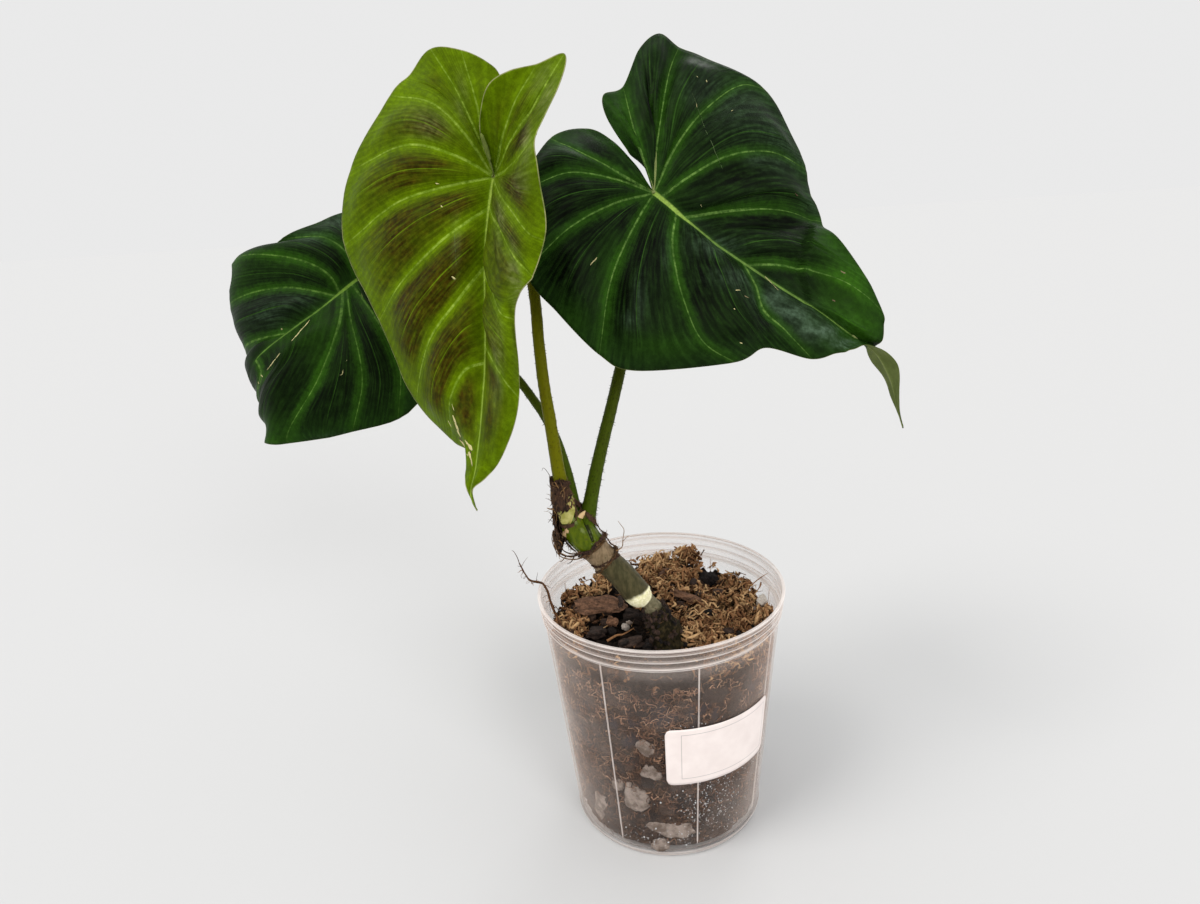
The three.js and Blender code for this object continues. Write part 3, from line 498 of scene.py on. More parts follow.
class Graph:
    """A material and short names for the nodes it is built from."""

    def __init__(self, name):
        self.material = bpy.data.materials.new(name)
        self.material.use_nodes = True
        self.tree = self.material.node_tree
        self.tree.nodes.clear()
        self.shader = self.tree.nodes.new("ShaderNodeBsdfPrincipled")
        out = self.tree.nodes.new("ShaderNodeOutputMaterial")
        self.tree.links.new(self.shader.outputs[0], out.inputs[0])

    def put(self, socket, value):
        if isinstance(value, bpy.types.NodeSocket):
            self.tree.links.new(value, socket)
        elif value is not None:
            socket.default_value = value

    def set(self, **values):
        for key, value in values.items():
            self.put(self.shader.inputs[key.replace("_", " ").title().replace("Ior", "IOR")], value)

    def attribute(self, name):
        node = self.tree.nodes.new("ShaderNodeAttribute")
        node.attribute_name = name
        return node.outputs["Fac"]

    def math(self, operation, a, b=None, c=None, clamp=False):
        node = self.tree.nodes.new("ShaderNodeMath")
        node.operation = operation
        node.use_clamp = clamp
        for socket, value in zip(node.inputs, (a, b, c)):
            self.put(socket, value)
        return node.outputs[0]

    def add(self, a, b):
        return self.math("ADD", a, b)

    def times(self, a, *more):
        for b in more:
            a = self.math("MULTIPLY", a, b)
        return a

    def less(self, a, b):
        return self.math("SUBTRACT", a, b)

    def most(self, a, b):
        return self.math("MAXIMUM", a, b)

    def step(self, value, low, high, to_low=0.0, to_high=1.0):
        node = self.tree.nodes.new("ShaderNodeMapRange")
        node.interpolation_type = "SMOOTHSTEP"
        for socket, v in zip(node.inputs, (value, low, high, to_low, to_high)):
            self.put(socket, v)
        return node.outputs[0]

    def mix(self, share, a, b):
        node = self.tree.nodes.new("ShaderNodeMix")
        node.data_type = "RGBA"
        self.put(node.inputs[0], share)
        self.put(node.inputs[6], a)
        self.put(node.inputs[7], b)
        return node.outputs[2]

    def blend(self, value, low, high, first, second):
        """From one 8-bit colour to another while a value goes from low to high."""
        return self.mix(self.step(value, low, high), linear(*first), linear(*second))

    def line(self, value, at, wide):
        """1 where a value is close to at, 0 past wide."""
        return self.step(self.math("ABSOLUTE", self.less(value, at)), wide * 0.5, wide, 1, 0)

    def tint(self, colour, amount):
        """A colour made darker or lighter."""
        node = self.tree.nodes.new("ShaderNodeVectorMath")
        node.operation = "SCALE"
        self.put(node.inputs[0], colour)
        self.put(node.inputs["Scale"], amount)
        return node.outputs[0]

    def place(self, scale=(1, 1, 1)):
        """The point in the part's own frame, in mm, stretched."""
        coords = self.tree.nodes.new("ShaderNodeTexCoord")
        node = self.tree.nodes.new("ShaderNodeMapping")
        node.inputs["Scale"].default_value = [1000 * s for s in scale]
        self.tree.links.new(coords.outputs["Object"], node.inputs["Vector"])
        return node.outputs[0]

    def noise(self, size, detail=3.0, rough=0.55, place=None, warp=0.0):
        node = self.tree.nodes.new("ShaderNodeTexNoise")
        self.put(node.inputs["Vector"], place or self.place())
        node.inputs["Scale"].default_value = 1 / size
        node.inputs["Detail"].default_value = detail
        node.inputs["Roughness"].default_value = rough
        node.inputs["Distortion"].default_value = warp
        return node.outputs["Fac"]

    def cells(self, size, feature="F1", place=None, output="Distance"):
        node = self.tree.nodes.new("ShaderNodeTexVoronoi")
        node.feature = feature
        self.put(node.inputs["Vector"], place or self.place())
        node.inputs["Scale"].default_value = 1 / size
        return node.outputs[output]

    def bump(self, height, distance, strength=1.0, normal=None):
        node = self.tree.nodes.new("ShaderNodeBump")
        node.inputs["Strength"].default_value = strength
        node.inputs["Distance"].default_value = distance * MM
        self.put(node.inputs["Height"], height)
        self.put(node.inputs["Normal"], normal)
        return node.outputs[0]


# Photograph: where a point of the part falls in it, and which point a pixel shows

def camera_axes():
    cp, sp = math.cos(CAMERA_PITCH), math.sin(CAMERA_PITCH)
    cr, sr = math.cos(CAMERA_ROLL), math.sin(CAMERA_ROLL)
    right, up, ahead = np.array([1.0, 0, 0]), np.array([0, sp, cp]), np.array([0, cp, -sp])
    return right * cr + up * sr, up * cr - right * sr, ahead


RIGHT, UP, AHEAD = camera_axes()


def pixels(points):
    p = np.asarray(points, float) - CAMERA_AT
    depth = p @ AHEAD
    x = PHOTO_WIDTH / 2 + FOCAL_PIXELS * (p @ RIGHT) / depth
    y = PHOTO_HEIGHT / 2 - FOCAL_PIXELS * (p @ UP) / depth
    return np.stack([x, y], -1)


def ray_of(x, y):
    return AHEAD + (x - PHOTO_WIDTH / 2) / FOCAL_PIXELS * RIGHT - (y - PHOTO_HEIGHT / 2) / FOCAL_PIXELS * UP


def shown_at(x, y, depth_y):
    """The point that a pixel shows on the upright plane at depth_y."""
    ray = ray_of(x, y)
    return CAMERA_AT + ray * ((depth_y - CAMERA_AT[1]) / ray[1])


def shown_on_level(x, y, z):
    """The point that a pixel shows at a height."""
    ray = ray_of(x, y)
    return CAMERA_AT + ray * ((z - CAMERA_AT[2]) / ray[2])


def from_line(at, line):
    """Distance in pixels from a broken line, and how far along it, from 0 to 1."""
    line = np.asarray(line, float)
    best, along = np.full(len(at), 1e9), np.zeros(len(at))
    for k, (a, b) in enumerate(zip(line[:-1], line[1:])):
        t = np.clip(((at - a) @ (b - a)) / (b - a).dot(b - a), 0, 1)
        d = np.linalg.norm(at - a - t[:, None] * (b - a), axis=1)
        near = d < best
        best[near] = d[near]
        along[near] = ((k + t) / (len(line) - 1))[near]
    return best, along


def blots(at, spots):
    """The sum of soft spots of (x, y, half width, half height, strength) at each pixel."""
    total = np.zeros(len(at))
    for x, y, wide, high, strength in spots:
        total += strength * np.exp(-(((at[:, 0] - x) / wide) ** 2 + ((at[:, 1] - y) / high) ** 2))
    return total


# Blades

ROWS = 38
FIRST_STATION = 0.004
STATION_STEP = 0.0036
COLUMN_SHARES = [0, 0.03, 0.07, 0.12, 0.19, 0.28, 0.39, 0.5, 0.61, 0.72, 0.81, 0.88, 0.93, 0.97]

# Where a blade's margin is evened out: pixel, half width, half height, strength
EVEN_SPOTS = {
    "leaf_front": [],
    "leaf_right": [(833, 214, 13, 13, 0.9), (852, 346, 9, 8, 0.8)],
    "leaf_left": [(236, 364, 18, 34, 1), (250, 408, 20, 40, 1.1), (262, 440, 14, 20, 0.9)],
}
EVEN_ROUNDS = 60
EVEN_SHARE = 0.5


def blade_side(rib_at, lines, shares):
    """One side of a blade: its stations, points and vein numbers as functions of places along its list."""
    offsets = []
    for _, station, *points in lines:
        root = rib_at(station)
        offsets.append(curve_through([root, *points])[0](shares) - root)
    offsets = np.array(offsets + [np.zeros((len(shares), 3))])
    stations = np.array([line[1] for line in lines] + [1.0])
    last = len(lines)
    strong = [i for i, line in enumerate(lines) if line[0] == "vein"]
    knots = [0, *strong, last]
    numbers = [-0.5, *range(len(strong)), len(strong) - 0.4]

    def station_at(places):
        return np.clip(smooth_along(stations, places), 0, 1)

    fine = np.linspace(0, last, 4000)
    rising = np.maximum.accumulate(station_at(fine)) + fine * 1e-9
    return {
        "last": last,
        "station_at": station_at,
        "points_at": lambda places: smooth_along(offsets, places) + rib_at(station_at(places))[:, None],
        "place_of": lambda wanted: np.interp(wanted, rising, fine),
        "number_at": lambda places: np.interp(places, knots, numbers),
    }


def columns_between(last):
    return np.concatenate([np.array(COLUMN_SHARES) + k for k in range(last)])


def shared_stations(sides):
    """Both sides meet along the midrib at the same stations."""
    stations = [side["station_at"](columns_between(side["last"])) for side in sides]
    apart = [FIRST_STATION]
    for station in np.sort(np.concatenate(stations)):
        if station - apart[-1] > STATION_STEP and station < 1 - STATION_STEP:
            apart.append(station)
    return np.array(apart)


def vein_gap(grid, number):
    """The distance from one vein to the next, square to them, in mm, over a grid of points."""
    step, run = np.gradient(grid, axis=0), unit(np.gradient(grid, axis=1))
    square = step - run * (step * run).sum(2, keepdims=True)
    return np.linalg.norm(square, axis=2) / np.maximum(np.gradient(number), 1e-6)[:, None]


def blade_mesh(name, relief):
    """The closed mesh of a blade, with the values that its veins are drawn from. relief moves its faces."""
    blade = BLADES[name]
    rib_at, _ = curve_through(blade["midrib"], 400)
    shares = np.linspace(0, 1, ROWS + 1)
    sides = [blade_side(rib_at, blade[side], shares) for side in ("left", "right")]
    shared = shared_stations(sides)
    points = [rib_at(np.array([0.0, 1.0])), rib_at(shared)]
    count = 2 + len(shared)
    keys = ("phase", "gap", "out")
    at_point = {key: [np.zeros(count)] for key in keys}
    at_corner = {key: [] for key in keys}
    faces, rims = [], []
    for which, side in enumerate(sides):
        fan = columns_between(side["last"])
        fan = fan[fan < side["place_of"](FIRST_STATION) - 0.02]
        places = np.concatenate([fan, side["place_of"](shared), [side["last"]]])
        grid = side["points_at"](places)
        columns = len(places)
        index = np.zeros((columns, ROWS + 1), int)
        index[len(fan) : -1, 0] = 2 + np.arange(len(shared))
        index[:-1, 1:] = count + np.arange((columns - 1) * ROWS).reshape(columns - 1, ROWS)
        index[-1] = 1
        count += (columns - 1) * ROWS
        points.append(grid[:-1, 1:].reshape(-1, 3))
        number = side["number_at"](places)
        values = {
            "phase": np.repeat(number[:, None], ROWS + 1, 1),
            "gap": vein_gap(grid, number),
            "out": np.repeat(shares[None], columns, 0),
        }
        first = index[:-1, :-1], index[:-1, 1:], index[1:, 1:]
        second = index[:-1, :-1], index[1:, 1:], index[1:, :-1]
        for cut, face in enumerate((first, second)):
            face = np.stack([corner.ravel() for corner in face], 1)
            whole = (face[:, 0] != face[:, 1]) & (face[:, 1] != face[:, 2]) & (face[:, 0] != face[:, 2])
            turn = slice(None, None, -1 if which else 1)
            faces.append(face[whole][:, turn])
            for key, v in values.items():
                third = (v[1:, 1:], v[1:, :-1]) if cut else (v[:-1, 1:], v[1:, 1:])
                corners = np.stack([corner.ravel() for corner in (v[:-1, :-1], *third)], 1)
                at_corner[key].append(corners[whole][:, turn])
        for key, v in values.items():
            at_point[key].append(v[:-1, 1:].ravel())
        rims += [index[0], index[:, -1]]
    points, faces = np.vstack(points), np.vstack(faces)
    evened = np.clip(blots(pixels(points), EVEN_SPOTS[name]), 0, 1)
    points = smoothed(points, faces, evened * EVEN_SHARE, EVEN_ROUNDS)
    mid = {key: np.concatenate(parts) for key, parts in at_point.items()}
    at_corner = {key: np.vstack(parts) for key, parts in at_corner.items()}
    rib_line = rib_at(np.linspace(0, 1, 400))
    mid["rib"], nearest = nearest_of(points, rib_line)
    mid["tip"] = nearest / (len(rib_line) - 1)
    mid["rim"], _ = nearest_of(points, points[np.unique(np.concatenate(rims))])
    mid["vein"] = np.minimum(np.abs((mid["phase"] + 0.5) % 1 - 0.5) * mid["gap"], mid["rib"])
    normals = np.zeros_like(points)
    a, b, c = (points[faces[:, k]] for k in range(3))
    for k in range(3):
        np.add.at(normals, faces[:, k], np.cross(b - a, c - a))
    normals = unit(normals)
    lift, groove, ridge = relief(points, mid)
    middle = points + normals * lift[:, None]
    half = BLADE_THICKNESS / 2 * lerp(0.5, 1, ramp(0, 2, mid["rim"]))
    top = middle + normals * (half - groove)[:, None]
    under = middle - normals * (half + ridge)[:, None]
    n = len(points)
    walls = rim_walls(faces, n)
    attributes = {key: np.concatenate([v, v]) for key, v in mid.items() if key not in keys}
    for key in keys:
        wall = mid[key][walls % n]
        attributes[key] = np.vstack([at_corner[key], at_corner[key][:, ::-1], wall])
    attributes["under"] = np.concatenate([np.zeros(n), np.ones(n)])
    closed = np.vstack([faces, faces[:, ::-1] + n, walls])
    made = mesh_object(name + "_blade", np.vstack([top, under]), closed, attributes)
    return made, top, normals


def smoothed(points, faces, share, rounds):
    """Points drawn to their neighbours by a share of their own, those of the margin only along it."""
    edges = np.vstack([faces[:, [0, 1]], faces[:, [1, 2]], faces[:, [2, 0]]])
    edges = np.unique(np.sort(edges, axis=1), axis=0)
    border = np.sort(open_edges(faces), axis=1)
    on_border = np.zeros(len(points), bool)
    on_border[border] = True
    count = len(points)
    along_border = np.isin(edges[:, 0] * count + edges[:, 1], border[:, 0] * count + border[:, 1])
    a, b = np.concatenate([edges[:, 0], edges[:, 1]]), np.concatenate([edges[:, 1], edges[:, 0]])
    kept = ~on_border[a] | np.tile(along_border, 2)
    a, b = a[kept], b[kept]
    degree = np.maximum(np.bincount(a, minlength=len(points)), 1)
    for _ in range(rounds):
        around = [np.bincount(a, points[b, k], len(points)) / degree for k in range(3)]
        points = points + (np.stack(around, -1) - points) * share[:, None]
    return points


def nearest_of(points, targets):
    """How far the nearest target is from each point, and which it is."""
    tree = KDTree(len(targets))
    for i, p in enumerate(targets):
        tree.insert(p, i)
    tree.balance()
    found = [tree.find(p) for p in points]
    return np.array([f[2] for f in found]), np.array([f[1] for f in found])


def surface_spots(top, normals):
    """A function from pixels of the photograph to points and normals on a blade's upper face."""
    at = pixels(top)
    depth = (top - CAMERA_AT) @ AHEAD
    facing = ((CAMERA_AT - top) * normals).sum(1) > 0

    def find(x, y):
        near = np.linalg.norm(at - (x, y), axis=1) + np.where(facing, 0, 1e3)
        close = near < near.min() + 2.5
        order = np.where(close, depth, 1e9)
        i = np.argsort(np.where(order < order.min() + 6, near, 1e9))[:3]
        weight = 1 / (near[i] + 0.05)
        weight /= weight.sum()
        return weight @ top[i], unit(weight @ normals[i])

    return find


# Creases, folds and hollows of the blades, by pixels of the photograph. The folds are pressed in and also
# painted with shade along their lines.
CREASE = [(812, 226), (803, 250), (801, 275), (808, 300)]
CREASE_STEP = 2.4
# How wide the painted shade along a fold is, as a share of the fold's half width
FOLD_SHADE_SHARE = 0.55
FRONT_FOLDS = [
    ([(497, 190), (497, 222), (503, 244), (513, 262), (521, 289)], 1.0, 2.2),
    ([(502, 232), (511, 249), (523, 265), (532, 281)], 0.9, 2.0),
    ([(494, 228), (496, 254), (502, 285)], 0.8, 2.0),
    ([(500, 176), (517, 145), (529, 110), (545, 86), (560, 68)], 1.1, 3.0),
    ([(442, 56), (460, 92), (474, 124), (483, 149)], 0.9, 3.2),
    ([(508, 300), (514, 330), (517, 352)], 0.9, 2.4),
    ([(500, 330), (503, 356), (502, 380)], 0.6, 2.4),
]
RIGHT_FOLDS = [
    ([(813, 222), (804, 236), (802, 262), (803, 284), (808, 304)], 0.5, 2.4),
    ([(646, 68), (648, 88), (651, 108), (654, 128)], 2.4, 2.2),
    ([(730, 226), (760, 224), (800, 226)], 1.0, 5.0),
    ([(756, 292), (766, 312), (782, 332)], 1.3, 4.0),
    ([(676, 218), (684, 240), (690, 262)], 0.5, 3.0),
]
DIPS = [
    (648, 250, 14, 30, 1), (704, 264, 14, 17, 0.9), (765, 312, 9, 18, 0.7),
    (768, 221, 36, 10, 0.9), (738, 176, 22, 10, 0.6),
]
DIP_DEPTH = 1.9
# The left leaf lies flatter where its edge rolls back, left of these pixels
LEFT_ROLL = (250, 285)
# How far each blade swells between its veins and waves, in mm
FRONT_WAVES = (3.0, 0.7)
LEFT_WAVES = (2.8, 0.6)
RIGHT_WAVES = (4.4, 0.9)
# Veins are sunk above and stand out below, in mm, the midrib most
VEIN_SUNK = 0.3
VEIN_PROUD = 0.5
RIB_RAISED = 0.6


def common_relief(points, mid, quilt, wave):
    """Pillows between the veins, sunken veins above and raised ones below."""
    between = np.sin(math.pi * (mid["phase"] % 1)) ** 2
    room = ramp(0, 14, mid["rim"]) * ramp(0, 9, mid["rib"]) * np.clip(mid["gap"] / 24, 0, 1)
    lift = quilt * between * room
    half_way = np.abs(mid["phase"] % 1 - 0.5) * mid["gap"]
    lift -= VEIN_SUNK * np.exp(-((half_way / 1.6) ** 2)) * room
    lift += wave * noise(points, 19, 1) * ramp(0, 12, mid["rib"]) + 0.24 * noise(points, 7, 2)
    fade = lerp(1, 0.35, mid["out"])
    groove = VEIN_SUNK * np.exp(-((mid["vein"] / 0.9) ** 2)) * fade
    ridge = VEIN_PROUD * np.exp(-((mid["vein"] / 0.6) ** 2)) * fade
    ridge += RIB_RAISED * np.exp(-((mid["rib"] / 1.0) ** 2)) * (1 - 0.7 * mid["tip"])
    return lift, groove, ridge


def folds(at, lines):
    """How far a blade is pressed in along creases: (line of pixels, depth in mm, half width in pixels)."""
    total = np.zeros(len(at))
    for line, depth, wide in lines:
        away, along = from_line(at, line)
        total += depth * np.exp(-((away / wide) ** 2)) * np.sin(math.pi * np.clip(along, 0.02, 0.98)) ** 0.5
    return total


def front_relief(points, mid):
    lift, groove, ridge = common_relief(points, mid, *FRONT_WAVES)
    return lift - folds(pixels(points), FRONT_FOLDS), groove, ridge


def left_relief(points, mid):
    lift, groove, ridge = common_relief(points, mid, *LEFT_WAVES)
    rolled = ramp(*LEFT_ROLL, pixels(points)[:, 0])
    return lift * lerp(0.25, 1, rolled), groove, ridge


def right_relief(points, mid):
    """The big blade has a step along an old crease, a pinched back lobe and hollows by its midrib."""
    lift, groove, ridge = common_relief(points, mid, *RIGHT_WAVES)
    at = pixels(points)
    away, along = from_line(at, CREASE)
    inner = at[:, 0] < np.interp(at[:, 1], [p[1] for p in CREASE], [p[0] for p in CREASE])
    step = CREASE_STEP * np.exp(-away / 16) * np.sin(math.pi * np.clip(along, 0.02, 0.98)) ** 0.5
    lift += np.where(inner, -0.35, 1) * step
    lift -= folds(at, RIGHT_FOLDS)
    lift -= DIP_DEPTH * blots(at, DIPS)
    return lift, groove, ridge


# Where a blade is darker (its own dark, and painted shade in hollows and grooves), greyer with a painted
# velvet sheen, or brighter: soft spots in the photograph
FRONT_TONES = {
    # deep: the brown between the veins, and painted shade in the grooves beside the midrib
    "deep": [
        (437, 78, 10, 18, 0.3), (430, 128, 22, 16, 0.75), (398, 128, 14, 12, 0.3),
        (418, 164, 36, 11, 1), (400, 183, 28, 8, 0.75), (373, 196, 12, 20, 0.3),
        (446, 203, 34, 13, 1), (405, 222, 30, 15, 0.8), (398, 247, 26, 18, 0.8),
        (457, 248, 20, 22, 1), (432, 275, 26, 18, 1), (400, 292, 20, 20, 0.7),
        (440, 302, 34, 18, 0.9), (412, 338, 20, 26, 0.85), (452, 350, 22, 32, 1),
        (462, 398, 18, 26, 1), (440, 392, 14, 20, 0.6), (482, 430, 14, 26, 0.7),
        (499, 356, 13, 36, 1), (507, 300, 14, 30, 1), (513, 240, 15, 26, 1),
        (510, 194, 17, 18, 1.1), (497, 122, 10, 24, 0.7), (519, 130, 12, 28, 1),
        (540, 100, 12, 22, 0.8), (505, 425, 13, 36, 0.8), (534, 210, 12, 34, 0.6),
        (530, 300, 10, 34, 0.5),
    ],
    "painted_sheen": [
        (499, 218, 5, 30, 0.7), (512, 262, 5, 26, 0.6), (518, 292, 5, 30, 0.4),
        (546, 92, 10, 26, 0.55), (526, 140, 5, 22, 0.6), (519, 184, 9, 12, 0.45),
        (430, 122, 20, 18, 0.35), (498, 360, 6, 40, 0.4), (456, 245, 4, 28, 0.25),
        (462, 96, 6, 22, 0.35), (520, 350, 5, 34, 0.3),
    ],
    "bright": [
        (360, 200, 20, 60, 0.4), (400, 90, 26, 24, 0.5), (480, 90, 20, 24, 0.3),
        (540, 330, 12, 44, 0.3), (352, 330, 14, 50, 0.35), (552, 300, 8, 40, 0.5),
        (478, 190, 16, 10, 0.3),
    ],
}
RIGHT_TONES = {
    # deep: the dark velvet between the veins, and painted shade in the hollows and on the left side, away
    # from the light
    "deep": [
        (648, 248, 13, 30, 1), (704, 264, 14, 16, 1), (768, 221, 40, 10, 1),
        (738, 176, 24, 10, 0.9), (765, 312, 8, 18, 1), (775, 328, 12, 8, 0.8),
        (622, 216, 12, 12, 0.8), (558, 200, 24, 15, 1.4), (562, 168, 28, 12, 1.2),
        (651, 98, 4, 28, 1), (795, 229, 14, 5, 0.8), (562, 275, 26, 28, 0.8),
        (625, 285, 13, 26, 0.8), (690, 130, 20, 14, 0.6), (688, 178, 18, 12, 0.4),
        (660, 165, 6, 30, 0.3), (702, 300, 14, 20, 0.8), (745, 262, 20, 12, 0.3),
        (845, 300, 12, 16, 0.3), (604, 150, 18, 16, 0.7), (586, 222, 22, 18, 1.0),
        (740, 335, 16, 10, 0.4),
    ],
    "painted_sheen": [
        (770, 297, 16, 9, 0.9), (790, 314, 20, 10, 1.1), (818, 331, 20, 9, 1.1),
        (845, 344, 14, 5, 1), (716, 246, 24, 9, 0.7), (695, 222, 12, 12, 0.3),
        (795, 164, 22, 12, 0.35), (820, 202, 14, 14, 0.45), (742, 105, 34, 26, 0.28),
        (700, 88, 20, 16, 0.25), (780, 140, 18, 22, 0.28), (756, 158, 10, 8, 0.35),
        (640, 296, 6, 18, 0.45), (630, 320, 8, 8, 0.4), (668, 250, 6, 20, 0.35),
        (560, 146, 26, 8, 0.3), (740, 278, 26, 10, 0.55),
    ],
    "bright": [
        (848, 290, 26, 44, 1), (862, 330, 18, 16, 0.8), (826, 240, 14, 14, 0.6),
        (604, 290, 8, 44, 0.5), (674, 262, 6, 44, 0.5), (622, 118, 18, 36, 0.5),
        (664, 345, 40, 14, 0.5), (616, 250, 8, 30, 0.4), (676, 120, 12, 40, 0.35),
        (574, 320, 20, 20, 0.3), (560, 120, 30, 16, 0.3),
    ],
}
LEFT_TONES = {
    "deep": [
        (345, 262, 26, 18, 1), (300, 296, 34, 14, 1), (262, 306, 22, 16, 0.8),
        (330, 232, 30, 10, 0.6), (372, 350, 14, 50, 0.9), (300, 352, 14, 16, 0.4),
        (285, 375, 20, 14, 0.6), (268, 342, 18, 10, 0.6), (310, 405, 22, 20, 0.6),
        (345, 385, 10, 40, 0.6), (345, 424, 26, 10, 0.6),
    ],
    "painted_sheen": [
        (350, 222, 26, 8, 0.9), (312, 238, 24, 6, 0.5), (262, 318, 20, 12, 0.35),
        (290, 300, 28, 10, 0.3), (228, 330, 8, 40, 0.4), (242, 380, 8, 30, 0.4),
        (252, 425, 6, 20, 0.4), (345, 437, 30, 4, 0.4),
    ],
    "bright": [
        (232, 268, 14, 22, 0.9), (292, 340, 26, 16, 0.5), (258, 428, 20, 16, 0.7),
        (320, 318, 14, 16, 0.4), (318, 372, 8, 40, 0.4), (290, 262, 26, 8, 0.3),
        (270, 445, 20, 8, 0.5),
    ],
}

# Colours of a blade. The grey colour is that of a painted velvet sheen; deep and deepest are the blade's own
# dark between its veins and also serve as painted shade; crease is painted shade along the folds.
LIGHT_LOOK = {
    "field": (74, 94, 2),
    "field_far": (80, 102, 3),
    "deep": (60, 50, 6),
    "deepest": (40, 32, 4),
    "vein": (130, 152, 58),
    "weak_vein": (94, 124, 12),
    "rib": (142, 164, 64),
    "rim": (150, 148, 104),
    "painted_sheen": (112, 114, 74),
    "bright": (94, 122, 3),
    "under": (108, 120, 60),
    "under_vein": (140, 150, 90),
    "crease": (34, 36, 6),
    "streak": 0.24,
    "deep_floor": 0.2,
    "vein_width": 0.62,
    "rib_width": [0.95, 0.66, 0.34],
    "rib_glow": 0.6,
    "halo": [3.8, 0.55],
    "lined": 0.06,
    "weak": 0.75,
    "rough": 0.5,
    "gloss": 0.1,
    "shine": (176, 196, 90),
    "ragged": 0.75,
    "rim_width": 0.42,
}
DARK_LOOK = {
    "field": (14, 27, 9),
    "field_far": (18, 35, 11),
    "deep": (7, 12, 6),
    "deepest": (3, 4, 3),
    "vein": (94, 124, 58),
    "weak_vein": (50, 84, 28),
    "rib": (142, 170, 76),
    "rim": (92, 98, 54),
    "painted_sheen": (62, 80, 62),
    "bright": (44, 84, 12),
    "under": (96, 108, 58),
    "under_vein": (128, 138, 84),
    "crease": (2, 3, 2),
    "streak": 0.2,
    "deep_floor": 0.26,
    "vein_width": 0.52,
    "rib_width": [1.3, 0.66, 0.36],
    "rib_glow": 0.5,
    "halo": [5.0, 0.5],
    "lined": 0.05,
    "weak": 0.7,
    "rough": 0.44,
    "gloss": 0.075,
    "shine": (190, 210, 170),
    "ragged": 0.72,
    "rim_width": 0.3,
}
LEFT_LOOK = {
    **DARK_LOOK,
    "field": (13, 28, 6),
    "field_far": (17, 37, 8),
    "deep": (6, 13, 4),
    "deepest": (3, 7, 3),
    "rib_width": [0.9, 0.5, 0.34],
    "rib": (104, 136, 50),
    "vein": (78, 108, 44),
    "weak_vein": (40, 72, 18),
}


